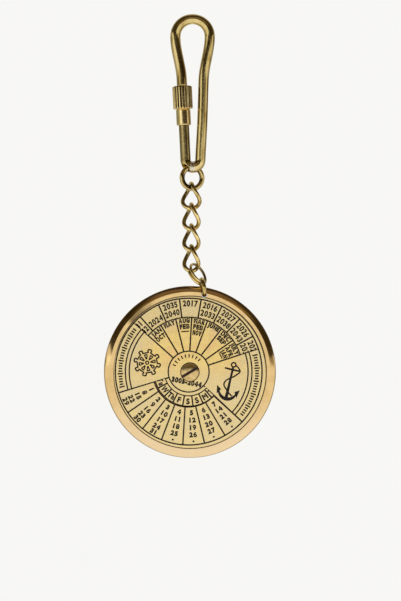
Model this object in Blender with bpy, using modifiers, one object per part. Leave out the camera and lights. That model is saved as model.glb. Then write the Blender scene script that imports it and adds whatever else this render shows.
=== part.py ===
"""Brass keyring with a calendar dial fob, hanging from its shackle.

Frame: +X to the right of the dial's face, +Y away from whoever reads the dial,
+Z up. The origin is the point of the shackle's bow that a peg would carry.
Every dimension below is in millimetres.
"""

import math

import bmesh
import bpy
from mathutils import Euler, Matrix, Vector

MM = 0.001
PI = math.pi

# ---------------------------------------------------------------- dimensions

# Shackle: one length of round wire, bent to a long pear with a drilled foot
WIRE_R = 1.5
BOW_R = 5.0                 # centreline radius of the bow
BOW_X = -0.1                # the bow's centre
FLARE_Z = -16.0             # the straight legs end here and flare to the bow
BEND = (0.02, -39.39)       # centre of the tight lower bend, X and Z
BEND_R = 2.15               # its centreline radius
FOOT_SWELL = 0.12           # the foot is this much thicker than the wire
LEFT_LEAN = math.radians(2.717)
RIGHT_LEAN = math.radians(2.325)
RIGHT_BOW = 0.12            # slight outward bow of the right leg
GAP_TOP, GAP_LOW = -20.5, -26.5   # the opening in the left leg
THREAD_PITCH, THREAD_DEPTH, THREAD_TURNS = 0.5, 0.2, 5

# Lock sleeve: knurled barrel and plain collar
SLEEVE_FOOT_Z = -29.4       # the collar's lower end
COLLAR_L, COLLAR_R = 4.7, 2.1
KNURL_L, KNURL_R = 6.7, 2.85
SLEEVE_BORE_R = 1.6
RIDGES = 20

# Eye through the foot and the jump ring in it
EYE = (-0.24, 0.0, -41.535)
EYE_R = 1.0
EYE_TURN = math.radians(22.0)     # the hole runs from front left to back right
EYE_SWING = 35.0                  # degrees that the ring swings either way
JUMP_R, JUMP_WIRE = 3.10, 0.75
EYE_CLEAR = 0.1

# Curb chain
LINK_WIRE = 0.60
LINK_H = 3.668                    # half height of a link's centreline
LINK_W = (2.98, 2.60, 2.56, 2.50)  # half widths, the links being hand closed
LINK_X = (-0.5, -0.45, -0.45, -0.45)
LINK_GAP = 0.08                   # slack between two links
FIRST_GAP = 0.14                  # slack of the first link in the jump ring
TWIST_TOP, TWIST_LOW, TWIST_EASE = math.radians(-80.0), math.radians(20.0), 1.7

# Connecting ring: one lapped turn of thinner wire, tilted in the image plane
# and leaning out of it
LAP_WIRE, LAP_R, LAP_PITCH, LAP_TURNS = 0.40, 3.30, 0.90, 1.20
LAP_AT = (1.45, 0.70, -72.65)
LAP_TILT, LAP_LEAN, LAP_ROLL = 35.0, -28.0, -1.0

# Bail ring through the rim; its wire lies a little low in the rim's hole
BAIL_R, BAIL_WIRE = 2.25, 0.68
BAIL_IN_HOLE = (0.0, -0.03, -0.103)
BAIL_TILT, BAIL_TURN = 10.4, -7.8

SEAM = 0.1                        # open seam of the closed wire rings

# Disc: back plate, dial and the screw they turn on
AXIS = (-0.87, 0.3, -101.05)      # the pivot, at the back plate's middle plane
PLATE_R, PLATE_T = 25.0, 1.6
PLATE_FLAT_R = 23.3
LAND_R, LAND_H = 20.3, 0.2        # raised flat on the back
RIM_HOLE_R, RIM_HOLE_AT = 0.88, 22.9
RIM_HOLE_ANGLE = math.radians(10.5)
DIAL_R, DIAL_T = 22.0, 1.0
DIAL_BACK = 1.06                  # the dial's back face, ahead of the middle plane
ENGRAVED = (-0.35, 0.15)          # centre of the engraving, from the pivot
YEARS = (15.9, 21.2, 11.8 - 60.0, 11.8 + 60.0)       # window radii and angles
DAYS = (7.2, 10.3, 180.0 - 46.8, 180.0 + 73.2)       # clockwise from the top
POST_R, POST_BORE_R = 1.5, 1.02
POST_FLANGE_R, POST_FLANGE_T = 2.6, 0.5
RUN = 0.08                        # running clearance on the post
SPACER_R, SPACER_T = 3.6, 0.14
SPRING_R, SPRING_T = 2.55, 0.16
HEAD_R, HEAD_H = 2.82, 0.95
SLOT_W, SLOT_D, SLOT_TURN = 0.8, 0.5, math.radians(31.0)
SHANK_R, SHANK_L = 0.92, 2.0
ROUND = 96                        # sides of the large discs

# ------------------------------------------------------------------- helpers


def clear_scene():
    for obj in list(bpy.data.objects):
        bpy.data.objects.remove(obj, do_unlink=True)


def collection(name):
    group = bpy.data.collections.new(name)
    bpy.context.scene.collection.children.link(group)
    return group


def metal(name, colour, roughness):
    mat = bpy.data.materials.new(name)
    mat.use_nodes = True
    shader = mat.node_tree.nodes["Principled BSDF"]
    shader.inputs["Base Color"].default_value = (*colour, 1.0)
    shader.inputs["Metallic"].default_value = 1.0
    shader.inputs["Roughness"].default_value = roughness
    mat.diffuse_color = (*colour, 1.0)
    return mat


clear_scene()
PARTS = collection("brass_keyring")
CUTTERS = collection("brass_keyring_cutters")
WIRE_BRASS = metal("wire_brass", (0.50, 0.34, 0.12), 0.28)
SLEEVE_BRASS = metal("sleeve_brass", (0.62, 0.43, 0.17), 0.22)
PLATE_BRASS = metal("plate_brass", (0.66, 0.45, 0.19), 0.18)
DIAL_BRASS = metal("dial_brass", (0.80, 0.60, 0.28), 0.30)
SCREW_BRASS = metal("screw_brass", (0.70, 0.50, 0.22), 0.22)
SPRING_STEEL = metal("spring_steel", (0.55, 0.55, 0.56), 0.30)


def pivot(name, at, parent=None):
    """An empty on a joint's axis; at is in world millimetres."""
    empty = bpy.data.objects.new(name, None)
    empty.empty_display_size = 0.003
    empty.hide_render = True
    PARTS.objects.link(empty)
    place(empty, at, parent)
    return empty


def world_place(obj):
    at = Vector(obj.location)
    while obj.parent:
        obj = obj.parent
        at += Vector(obj.location)
    return at


def place(obj, at, parent=None, turn=(0.0, 0.0, 0.0)):
    """Pivots are never rotated, so a child's location is a plain difference."""
    at = Vector(at) * MM
    if parent is not None:
        obj.parent = parent
        at -= world_place(parent)
    obj.location = at
    obj.rotation_euler = turn


def wire(name, points, radius, mat, at, cyclic=False, resolution=2, swell=None):
    """Round wire along points, which are in millimetres from the place at."""
    curve = bpy.data.curves.new(name, "CURVE")
    curve.dimensions = "3D"
    curve.fill_mode = "FULL"
    curve.bevel_depth = radius * MM
    curve.bevel_resolution = resolution
    curve.use_fill_caps = not cyclic
    spline = curve.splines.new("POLY")
    spline.points.add(len(points) - 1)
    spline.use_cyclic_u = cyclic
    for i, (point, p) in enumerate(zip(spline.points, points)):
        point.co = (p[0] * MM, p[1] * MM, p[2] * MM, 1.0)
        if swell:
            point.radius = swell[i]
    obj = bpy.data.objects.new(name, curve)
    PARTS.objects.link(obj)
    if mat:
        curve.materials.append(mat)
    return obj


def as_mesh(obj, group):
    """The curve obj as a mesh with its caps welded; the curve is removed."""
    bpy.context.view_layer.update()
    graph = bpy.context.evaluated_depsgraph_get()
    mesh = bpy.data.meshes.new_from_object(obj.evaluated_get(graph))
    bm = bmesh.new()
    bm.from_mesh(mesh)
    bmesh.ops.remove_doubles(bm, verts=bm.verts, dist=0.0000005)
    bmesh.ops.recalc_face_normals(bm, faces=bm.faces)
    bm.to_mesh(mesh)
    bm.free()
    name, parent, matrix = obj.name, obj.parent, obj.matrix_world.copy()
    local, turn = obj.location.copy(), obj.rotation_euler.copy()
    curve = obj.data
    bpy.data.objects.remove(obj, do_unlink=True)
    bpy.data.curves.remove(curve)
    solid = bpy.data.objects.new(name, mesh)
    group.objects.link(solid)
    if parent:
        solid.parent, solid.location, solid.rotation_euler = parent, local, turn
    else:
        solid.matrix_world = matrix
    return solid


def turned(name, profile, sides, mat, group=None):
    """A turned ring or disc about local Z. The profile's (radius, z) points run
    down its outer side first; a profile that starts and ends at radius 0 is
    solid, any other is a closed loop round a bore."""
    solid = profile[0][0] == 0.0
    mesh = bpy.data.meshes.new(name)
    verts = [(r * MM, 0.0, z * MM) for r, z in profile]
    edges = [(i, i + 1) for i in range(len(verts) - 1)]
    if not solid:
        edges.append((len(verts) - 1, 0))
    mesh.from_pydata(verts, edges, [])
    obj = bpy.data.objects.new(name, mesh)
    (group or PARTS).objects.link(obj)
    screw = obj.modifiers.new("turn", "SCREW")
    screw.axis = "Z"
    screw.angle = 2 * PI
    screw.steps = screw.render_steps = sides
    screw.use_merge_vertices = True
    screw.merge_threshold = 0.000001
    screw.use_smooth_shade = False
    if mat:
        mesh.materials.append(mat)
    return obj


def helper(obj):
    obj.hide_render = True
    obj.display_type = "WIRE"
    return obj


def drill(name, radius, length, sides, at, direction, parent=None):
    """A cylinder to cut with, centred on at and lying along direction."""
    bm = bmesh.new()
    bmesh.ops.create_cone(bm, cap_ends=True, segments=sides, radius1=radius * MM,
                          radius2=radius * MM, depth=length * MM)
    mesh = bpy.data.meshes.new(name)
    bm.to_mesh(mesh)
    bm.free()
    obj = bpy.data.objects.new(name, mesh)
    CUTTERS.objects.link(obj)
    turn = Vector(direction).to_track_quat("Z", "Y").to_euler()
    place(obj, at, parent, turn)
    return helper(obj)


def cut(obj, cutter, name="cut"):
    boolean = obj.modifiers.new(name, "BOOLEAN")
    boolean.operation = "DIFFERENCE"
    boolean.solver = "EXACT"
    boolean.object = cutter


def smooth(obj, degrees=35.0):
    obj.data.shade_smooth()
    if hasattr(obj.data, "set_sharp_from_angle"):
        obj.data.set_sharp_from_angle(angle=math.radians(degrees))


def flat_prism(name, outline, at, depth, turn):
    """A prism to cut with, from a filled flat outline in its local XY plane."""
    curve = bpy.data.curves.new(name, "CURVE")
    curve.dimensions = "2D"
    curve.fill_mode = "BOTH"
    curve.extrude = depth / 2 * MM
    spline = curve.splines.new("POLY")
    spline.points.add(len(outline) - 1)
    spline.use_cyclic_u = True
    for point, (x, y) in zip(spline.points, outline):
        point.co = (x * MM, y * MM, 0.0, 1.0)
    obj = bpy.data.objects.new(name, curve)
    CUTTERS.objects.link(obj)
    place(obj, at, None, turn)
    return helper(as_mesh(obj, CUTTERS))


# ------------------------------------------------------------------- shackle


def left_leg_x(z):
    """Centreline of the left leg, a straight line tangent to the lower bend."""
    x0 = BEND[0] - BEND_R * math.cos(LEFT_LEAN)
    z0 = BEND[1] - BEND_R * math.sin(LEFT_LEAN)
    return x0 - math.tan(LEFT_LEAN) * (z - z0)


def right_leg_x(z):
    x0 = BEND[0] + BEND_R * math.cos(RIGHT_LEAN)
    z0 = BEND[1] - BEND_R * math.sin(RIGHT_LEAN)
    run = min(max((z - z0) / (FLARE_Z - z0), 0.0), 1.0)
    return x0 + math.tan(RIGHT_LEAN) * (z - z0) + RIGHT_BOW * math.sin(PI * run) ** 2


def flare(x0, lean, x1, z1, steps):
    """From a leaning leg at FLARE_Z to the upright start of the bow."""
    out = []
    dz = z1 - FLARE_Z
    for i in range(1, steps):
        t = i / steps
        h00, h10 = 2 * t**3 - 3 * t**2 + 1, t**3 - 2 * t**2 + t
        h01, h11 = -2 * t**3 + 3 * t**2, t**3 - t**2
        x = h00 * x0 + h10 * lean * dz + h01 * x1 + h11 * 0.0
        out.append((x, FLARE_Z + dz * t))
    return out


def spaced(z0, z1, step):
    n = max(1, round(abs(z1 - z0) / step))
    return [z0 + (z1 - z0) * i / n for i in range(n + 1)]


def shackle_path():
    """(x, z, thickness) from the upper stub, over the bow, to the lower stub."""
    bow_z = WIRE_R - BOW_R
    path = []
    turns = 2 * THREAD_TURNS
    step = THREAD_PITCH / 2
    groove = 1 - THREAD_DEPTH / WIRE_R
    for i in range(turns):
        z = GAP_TOP + step * i
        path.append((left_leg_x(z), z, groove if i % 2 == 0 else 1.0))
    for z in spaced(GAP_TOP + step * turns, FLARE_Z, 1.0):
        path.append((left_leg_x(z), z, 1.0))
    for x, z in flare(left_leg_x(FLARE_Z), -math.tan(LEFT_LEAN), BOW_X - BOW_R, bow_z, 8):
        path.append((x, z, 1.0))
    for i in range(19):
        a = PI - PI * i / 18
        path.append((BOW_X + BOW_R * math.cos(a), bow_z + BOW_R * math.sin(a), 1.0))
    right = flare(right_leg_x(FLARE_Z), math.tan(RIGHT_LEAN), BOW_X + BOW_R, bow_z, 8)
    path += [(x, z, 1.0) for x, z in reversed(right)]
    for z in spaced(FLARE_Z, BEND[1] + 0.4, 3.2):
        path.append((right_leg_x(z), z, 1.0))
    steps = 14
    for i in range(steps + 1):
        a = -RIGHT_LEAN - (PI - RIGHT_LEAN - LEFT_LEAN) * i / steps
        low = math.sin(-a)
        path.append((BEND[0] + BEND_R * math.cos(a), BEND[1] + BEND_R * math.sin(a),
                     1.0 + FOOT_SWELL * low**2))
    for z in spaced(BEND[1] + 0.4, GAP_LOW - step * turns, 2.6):
        path.append((left_leg_x(z), z, 1.0))
    for i in range(turns - 1, -1, -1):
        z = GAP_LOW - step * i
        path.append((left_leg_x(z), z, groove if i % 2 == 0 else 1.0))
    return path


path = shackle_path()
shackle = wire("shackle", [(x, 0.0, z) for x, z, _ in path], WIRE_R, None, (0, 0, 0),
               resolution=4, swell=[s for _, _, s in path])
shackle = as_mesh(shackle, PARTS)
shackle.data.materials.clear()
shackle.data.materials.append(WIRE_BRASS)
smooth(shackle)

eye_axis = Vector((math.cos(EYE_TURN), math.sin(EYE_TURN), 0.0))
cut(shackle, drill("eye_drill", EYE_R, 12.0, 24, EYE, eye_axis), "eye")


def ring_point(centre, radius, along, up, angle):
    """A point of a circle; angle 0 is its top."""
    return (Vector(centre) + radius * math.sin(angle) * Vector(along)
            + radius * math.cos(angle) * Vector(up))


# Where the swinging jump ring has to pass, the foot is relieved round it.
for k, swing in enumerate((-EYE_SWING, -EYE_SWING / 2, 0.0, EYE_SWING / 2, EYE_SWING)):
    turn = Matrix.Rotation(math.radians(swing), 3, eye_axis)
    up = turn @ Vector((0.0, 0.0, 1.0))
    centre = Vector(EYE) - JUMP_R * up
    arc = [ring_point(centre, JUMP_R, eye_axis, up, math.radians(-80 + 160 * i / 16))
           for i in range(17)]
    relief = wire(f"eye_relief_{k}", arc, JUMP_WIRE + EYE_CLEAR, None, (0, 0, 0), resolution=3)
    PARTS.objects.unlink(relief)
    CUTTERS.objects.link(relief)
    cut(shackle, helper(as_mesh(relief, CUTTERS)), f"relief_{k}")

# --------------------------------------------------------------- lock sleeve

leg_turn = (0.0, -LEFT_LEAN, 0.0)
sleeve_at = (left_leg_x(SLEEVE_FOOT_Z), 0.0, SLEEVE_FOOT_Z)
sleeve_slide = pivot("lock_sleeve_slide", sleeve_at)
top = COLLAR_L + KNURL_L
sleeve = turned("lock_sleeve", [
    (SLEEVE_BORE_R + 0.25, top), (KNURL_R - 0.3, top), (KNURL_R, top - 0.3),
    (KNURL_R, COLLAR_L + 0.3), (KNURL_R - 0.3, COLLAR_L),
    (COLLAR_R, COLLAR_L - 0.02), (COLLAR_R, 0.3), (COLLAR_R - 0.22, 0.0),
    (SLEEVE_BORE_R, 0.0), (SLEEVE_BORE_R, top - 0.25)], 40, SLEEVE_BRASS)
place(sleeve, sleeve_at, sleeve_slide, leg_turn)

bm = bmesh.new()
for k in range(RIDGES):
    a = 2 * PI * (k + 0.5) / RIDGES
    spot = (Matrix.Rotation(a, 4, "Z") @ Matrix.Translation(((KNURL_R + 0.08) * MM, 0.0, (COLLAR_L + KNURL_L / 2) * MM))
            @ Matrix.Rotation(PI / 4, 4, "Z"))
    bmesh.ops.create_cube(bm, size=1.0, matrix=spot @ Matrix.Diagonal((0.44 * MM, 0.44 * MM, (KNURL_L + 1.0) * MM, 1.0)))
mesh = bpy.data.meshes.new("knurl_grooves")
bm.to_mesh(mesh)
bm.free()
grooves = bpy.data.objects.new("knurl_grooves", mesh)
CUTTERS.objects.link(helper(grooves))
place(grooves, sleeve_at, sleeve_slide, leg_turn)
cut(sleeve, grooves, "knurl")

# -------------------------------------------------------- jump ring and chain


def open_ring(radius, wire_r, count, seam_angle):
    """Angles round a ring from one side of its seam to the other."""
    half = SEAM / 2 / radius
    return [seam_angle + half + (2 * PI - 2 * half) * i / count for i in range(count + 1)]


ring_pivot = pivot("jump_ring_pivot", EYE)
points = [ring_point((0, 0, -JUMP_R), JUMP_R, eye_axis, (0, 0, 1), a)
          for a in open_ring(JUMP_R, JUMP_WIRE, 32, math.radians(262))]
jump = wire("jump_ring", points, JUMP_WIRE, WIRE_BRASS, EYE, resolution=2)
place(jump, EYE, ring_pivot)


def link_twist(z):
    """Twist of a curb link at height z from its centre, most of it low down."""
    t = max((LINK_H - z) / (2 * LINK_H), 0.0)
    return TWIST_TOP + (TWIST_LOW - TWIST_TOP) * t ** TWIST_EASE


def link_points(half_width, count=24, seam=math.radians(100)):
    """A twisted oval, point top edge-on and round foot face-on."""
    out = []
    half = SEAM / 2 / LINK_H
    for i in range(count + 1):
        a = seam + half + (2 * PI - 2 * half) * i / count
        z = LINK_H * math.cos(a)
        u = half_width * math.sin(a)
        f = link_twist(z)
        out.append(Vector((u * math.cos(f), u * math.sin(f), z)))
    return out


JUMP_LOW_Z = EYE[2] - 2 * JUMP_R
link_step = 2 * LINK_H - (2 * LINK_WIRE + LINK_GAP)
first_top = JUMP_LOW_Z + JUMP_WIRE + LINK_WIRE + FIRST_GAP
parent = ring_pivot
for k, (w, x) in enumerate(zip(LINK_W, LINK_X)):
    centre = Vector((x, 0.0, first_top - LINK_H - k * link_step))
    # odd links turn on their own top wire, even ones on the foot of the link above
    if k % 2 == 0:
        at = centre + Vector((0.0, 0.0, LINK_H))
    else:
        at = centre + Vector((0.0, 0.0, LINK_H + 2 * LINK_WIRE + LINK_GAP))
        at.z = centre.z + link_step - LINK_H
        at.x = LINK_X[k - 1]
    parent = pivot(f"chain_link_{k + 1}_pivot", at, parent)
    shape = [p + centre - at for p in link_points(w)]
    link = wire(f"chain_link_{k + 1}", shape, LINK_WIRE, WIRE_BRASS, at)
    place(link, at, parent)

# ----------------------------------------------- connecting ring, bail ring


def lap_frame():
    """Axes of the lapped ring: right across its coil, back, and up along it."""
    tilt, lean = math.radians(LAP_TILT), math.radians(LAP_LEAN)
    down = Vector((math.sin(tilt), 0.0, -math.cos(tilt)))
    across = Vector((math.cos(tilt), 0.0, math.sin(tilt)))
    back = Vector((0.0, 1.0, 0.0))
    a = across * math.cos(lean) + back * math.sin(lean)
    b = back * math.cos(lean) - across * math.sin(lean)
    return Matrix((a, b, -down)).transposed()


lap = lap_frame()
roll = math.radians(LAP_ROLL)
points = []
count = 30
for i in range(count + 1):
    q = (i / count - 0.5) * 2 * PI * LAP_TURNS
    s = q + roll + PI
    points.append(Vector((LAP_PITCH * q / (2 * PI), -LAP_R * math.cos(s), -LAP_R * math.sin(s))))
lap_top = lap @ Vector((0.0, 0.0, LAP_R)) + Vector(LAP_AT)
lap_pivot = pivot("connecting_ring_pivot", lap_top, parent)
ring = wire("connecting_ring", points, LAP_WIRE, WIRE_BRASS, LAP_AT)
place(ring, LAP_AT, lap_pivot, lap.to_euler())

hole = (AXIS[0] + RIM_HOLE_AT * math.sin(RIM_HOLE_ANGLE), AXIS[1],
        AXIS[2] + RIM_HOLE_AT * math.cos(RIM_HOLE_ANGLE))
bail = Matrix.Rotation(math.radians(-BAIL_TILT), 3, "Y") @ Matrix.Rotation(math.radians(-BAIL_TURN), 3, "Z")
BAIL_AT = Vector(hole) + Vector(BAIL_IN_HOLE) + bail @ Vector((0.0, 0.0, BAIL_R))
bail_top = bail @ Vector((0.0, 0.0, BAIL_R)) + BAIL_AT
bail_pivot = pivot("bail_ring_pivot", bail_top, lap_pivot)
points = [ring_point((0, 0, 0), BAIL_R, (0, 1, 0), (0, 0, 1), a)
          for a in open_ring(BAIL_R, BAIL_WIRE, 26, math.radians(60))]
ring = wire("bail_ring", points, BAIL_WIRE, WIRE_BRASS, BAIL_AT)
place(ring, BAIL_AT, bail_pivot, bail.to_euler())

# ---------------------------------------------------------------------- disc

# Local Z of every turned piece of the disc points to the front, so a z below
# is a distance ahead of the back plate's middle plane.
FACING = (PI / 2, 0.0, 0.0)
disc_pivot = pivot("disc_pivot", hole, bail_pivot)
half = PLATE_T / 2

bore = POST_R + 0.06
seat_r, seat_d = POST_FLANGE_R + 0.08, POST_FLANGE_T + 0.16
profile = [(bore, half), (PLATE_FLAT_R, half)]
drop = half + 0.12
for i in range(1, 7):
    a = PI / 2 * i / 6
    profile.append((PLATE_FLAT_R + (PLATE_R - PLATE_FLAT_R) * math.sin(a), half - drop * (1 - math.cos(a))))
profile += [(PLATE_R, -0.3), (PLATE_R - 0.12, -0.48), (PLATE_R - 0.34, -half + LAND_H),
            (LAND_R + 0.15, -half + LAND_H), (LAND_R, -half), (seat_r, -half),
            (seat_r, -half + seat_d), (bore, -half + seat_d)]
back_plate = turned("back_plate", profile, ROUND, PLATE_BRASS)
place(back_plate, AXIS, disc_pivot, FACING)
cut(back_plate, drill("rim_drill", RIM_HOLE_R, 8.0, 20, hole, (0, 1, 0)), "rim_hole")

post = turned("pivot_post", [
    (POST_BORE_R, DIAL_BACK + DIAL_T + 0.1), (POST_R, DIAL_BACK + DIAL_T + 0.1),
    (POST_R, -half + seat_d - 0.06), (POST_FLANGE_R, -half + seat_d - 0.06),
    (POST_FLANGE_R, -half + seat_d - 0.06 - POST_FLANGE_T), (0.9, -half + seat_d - 0.06 - POST_FLANGE_T),
    (0.9, -half + 0.45), (POST_BORE_R, -half + 0.55)], 32, SCREW_BRASS)
place(post, AXIS, disc_pivot, FACING)

spacer = turned("dial_spacer", [
    (POST_R + RUN, half + 0.06 + SPACER_T), (SPACER_R, half + 0.06 + SPACER_T),
    (SPACER_R, half + 0.06), (POST_R + RUN, half + 0.06)], 36, SCREW_BRASS)
place(spacer, AXIS, disc_pivot, FACING)


def sector(r0, r1, a0, a1, steps):
    """Outline of a ring sector; angles clockwise from the top, as on a clock."""
    out = []
    for r, way in ((r1, 1), (r0, -1)):
        for i in range(steps + 1)[::way]:
            a = math.radians(a0 + (a1 - a0) * i / steps)
            out.append((r * math.sin(a), r * math.cos(a)))
    return out


dial_at = (AXIS[0], AXIS[1] - DIAL_BACK, AXIS[2])
dial_pivot = pivot("dial_pivot", dial_at, disc_pivot)
dial = turned("dial", [
    (POST_R + RUN, DIAL_T), (DIAL_R - 0.12, DIAL_T), (DIAL_R, DIAL_T - 0.12),
    (DIAL_R, 0.0), (POST_R + RUN, 0.0)], ROUND, DIAL_BRASS)
place(dial, dial_at, dial_pivot, FACING)
window_at = (AXIS[0] + ENGRAVED[0], AXIS[1] - DIAL_BACK - DIAL_T / 2, AXIS[2] + ENGRAVED[1])
for name, (r0, r1, a0, a1) in (("year_window", YEARS), ("day_window", DAYS)):
    cut(dial, flat_prism(name, sector(r0, r1, a0, a1, 30), window_at, DIAL_T + 1.0, FACING), name)

spring_z = DIAL_BACK + DIAL_T + 0.05
spring = turned("spring_washer", [
    (POST_R + RUN, spring_z + SPRING_T), (SPRING_R, spring_z + SPRING_T),
    (SPRING_R, spring_z), (POST_R + RUN, spring_z)], 32, SPRING_STEEL)
place(spring, AXIS, disc_pivot, FACING)

head_z = spring_z + SPRING_T + 0.05
tip = head_z - SHANK_L
profile = [(0.0, head_z + HEAD_H)]
for i in range(1, 8):
    a = PI / 2 * i / 7
    profile.append((HEAD_R * math.sin(a) ** 0.8, head_z + 0.3 + (HEAD_H - 0.3) * math.cos(a)))
profile += [(HEAD_R, head_z + 0.08), (HEAD_R - 0.1, head_z), (SHANK_R, head_z),
            (SHANK_R, tip + 0.2), (SHANK_R - 0.2, tip), (0.0, tip)]
screw = turned("centre_screw", profile, 40, SCREW_BRASS)
place(screw, AXIS, disc_pivot, FACING)
bm = bmesh.new()
bmesh.ops.create_cube(bm, size=1.0, matrix=Matrix.Rotation(SLOT_TURN, 4, "Z")
                      @ Matrix.Translation((0.0, 0.0, (head_z + HEAD_H - SLOT_D + 1.0) * MM))
                      @ Matrix.Diagonal((8.0 * MM, SLOT_W * MM, 2.0 * MM, 1.0)))
mesh = bpy.data.meshes.new("slot_cutter")
bm.to_mesh(mesh)
bm.free()
slot = bpy.data.objects.new("slot_cutter", mesh)
CUTTERS.objects.link(helper(slot))
place(slot, AXIS, disc_pivot, FACING)
cut(screw, slot, "slot")
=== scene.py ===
"""Looks of a brass keyring with a calendar dial fob.

Lengths below are in millimetres until a mesh is made; u is right, v is up and d
is ahead of the fob's axis, which is the back plate's middle.
"""

import math

import bmesh
import bpy
import numpy as np
from mathutils import Matrix, Vector
from mathutils.geometry import delaunay_2d_cdt
from mathutils.kdtree import KDTree

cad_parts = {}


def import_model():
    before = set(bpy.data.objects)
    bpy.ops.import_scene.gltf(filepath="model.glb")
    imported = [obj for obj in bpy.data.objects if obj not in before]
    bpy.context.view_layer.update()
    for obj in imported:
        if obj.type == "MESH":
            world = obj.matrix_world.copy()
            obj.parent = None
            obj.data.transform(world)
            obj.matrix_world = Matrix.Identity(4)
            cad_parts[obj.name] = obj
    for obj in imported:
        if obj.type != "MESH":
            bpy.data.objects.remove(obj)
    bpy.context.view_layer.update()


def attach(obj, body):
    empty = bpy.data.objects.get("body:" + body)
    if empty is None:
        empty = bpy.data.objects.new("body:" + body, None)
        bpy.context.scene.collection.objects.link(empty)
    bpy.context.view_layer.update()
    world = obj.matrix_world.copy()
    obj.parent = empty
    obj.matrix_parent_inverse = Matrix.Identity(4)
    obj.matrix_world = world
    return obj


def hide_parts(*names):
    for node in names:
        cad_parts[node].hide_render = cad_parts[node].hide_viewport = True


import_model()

MM = 0.001
PI = math.pi
TAU = 2 * math.pi
scene = bpy.context.scene

# ---------------------------------------------------------------- dimensions

WIRE_R = 1.5
BOW_R, BOW_X = 5.0, -0.1
FLARE_Z = -16.0
BEND, BEND_R = (0.02, -39.39), 2.15
FOOT_SWELL = 0.12
LEFT_LEAN, RIGHT_LEAN = math.radians(2.717), math.radians(2.325)
RIGHT_BOW = 0.12
GAP_TOP, GAP_LOW = -20.5, -26.5
THREAD_PITCH, THREAD_DEPTH, THREAD_L = 0.5, 0.2, 2.5

SLEEVE_FOOT_Z = -29.4
COLLAR_L, COLLAR_R = 4.7, 2.1
KNURL_L, KNURL_R = 6.7, 2.85
SLEEVE_BORE_R = 1.6
RIDGES = 20

EYE, EYE_R = (-0.24, 0.0, -41.535), 1.0
EYE_TURN, EYE_SWING, EYE_CLEAR = math.radians(22.0), 35.0, 0.1
JUMP_R, JUMP_WIRE = 3.10, 0.75

LINK_WIRE, LINK_H = 0.60, 3.668
LINK_W = (2.98, 2.60, 2.56, 2.50)
LINK_X = (-0.5, -0.45, -0.45, -0.45)
LINK_GAP, FIRST_GAP = 0.08, 0.14
TWIST_TOP, TWIST_LOW, TWIST_EASE = math.radians(-80.0), math.radians(20.0), 1.7

LAP_WIRE, LAP_R, LAP_PITCH, LAP_TURNS = 0.40, 3.30, 0.90, 1.20
LAP_AT = (1.45, 0.70, -72.65)
LAP_TILT, LAP_LEAN, LAP_ROLL = 35.0, -28.0, -1.0

BAIL_R, BAIL_WIRE = 2.25, 0.68
BAIL_IN_HOLE = (0.0, -0.03, -0.103)
BAIL_TILT, BAIL_TURN = 10.4, -7.8
SEAM = 0.014                # the closed rings' seams, nearly shut

AXIS = (-0.87, 0.3, -101.05)
PLATE_R, PLATE_FLAT_R, HALF = 25.0, 23.3, 0.8
LAND_R, LAND_H = 20.3, 0.2
RIM_HOLE_R, RIM_HOLE_AT, RIM_HOLE_ANGLE = 0.88, 22.9, math.radians(10.5)
DIAL_R, DIAL_BACK, DIAL_FRONT = 22.0, 1.06, 2.06
ENGRAVED = (-0.35, 0.15)
YEARS = (15.9, 21.2, -48.2, 71.8)
DAYS = (7.2, 10.3, 133.2, 253.2)
CELL = 360.0 / 21
POST_R, POST_BORE_R = 1.5, 1.02
HEAD_R, HEAD_H, HEAD_Z = 2.82, 0.95, 2.32
SLOT_W, SLOT_D, SLOT_TURN = 0.8, 0.5, math.radians(31.0)
CUT = 0.11                  # depth of the engraving
LINE = 0.22                 # half the width of an engraved line

# ------------------------------------------------------------ node materials


def add(tree, kind, values=None, **props):
    """A shader node; values are its inputs, each a socket or a constant."""
    node = tree.nodes.new(kind)
    for key, value in props.items():
        setattr(node, key, value)
    for key, value in (values or {}).items():
        if isinstance(value, bpy.types.NodeSocket):
            tree.links.new(value, node.inputs[key])
        else:
            node.inputs[key].default_value = value
    return node


def math_node(tree, operation, a, b=None, c=None, clamp=False):
    node = add(tree, "ShaderNodeMath", operation=operation, use_clamp=clamp)
    for i, value in enumerate((a, b, c)):
        if value is None:
            continue
        if isinstance(value, bpy.types.NodeSocket):
            tree.links.new(value, node.inputs[i])
        else:
            node.inputs[i].default_value = value
    return node.outputs[0]


def mix(tree, factor, a, b, blend="MIX"):
    node = add(tree, "ShaderNodeMix", data_type="RGBA", blend_type=blend)
    for i, value in ((0, factor), (6, a), (7, b)):
        if isinstance(value, bpy.types.NodeSocket):
            tree.links.new(value, node.inputs[i])
        elif i == 0:
            node.inputs[i].default_value = value
        else:
            node.inputs[i].default_value = (*value, 1.0)
    return node.outputs[2]


def ramp(tree, factor, stops, easing="LINEAR"):
    """A colour ramp; stops are (place, colour or grey)."""
    node = add(tree, "ShaderNodeValToRGB", {"Fac": factor})
    band = node.color_ramp
    band.interpolation = easing
    while len(band.elements) > 1:
        band.elements.remove(band.elements[-1])
    for i, (place, value) in enumerate(stops):
        spot = band.elements[0] if i == 0 else band.elements.new(place)
        spot.position = place
        spot.color = (*value, 1.0) if isinstance(value, tuple) else (value, value, value, 1.0)
    return node.outputs[0]


def in_mm(tree, scale=(1.0, 1.0, 1.0), turn=(0.0, 0.0, 0.0), shift=(0.0, 0.0, 0.0)):
    """The piece's own coordinates, in millimetres times scale."""
    coords = add(tree, "ShaderNodeTexCoord").outputs["Object"]
    return add(tree, "ShaderNodeMapping", {
        "Vector": coords, "Scale": tuple(1000.0 * s for s in scale), "Rotation": turn,
        "Location": shift}).outputs[0]


def noise(tree, vector, scale, detail=3.0, rough=0.5, distort=0.0):
    return add(tree, "ShaderNodeTexNoise", {
        "Vector": vector, "Scale": scale, "Detail": detail, "Roughness": rough,
        "Distortion": distort}).outputs[0]


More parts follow.
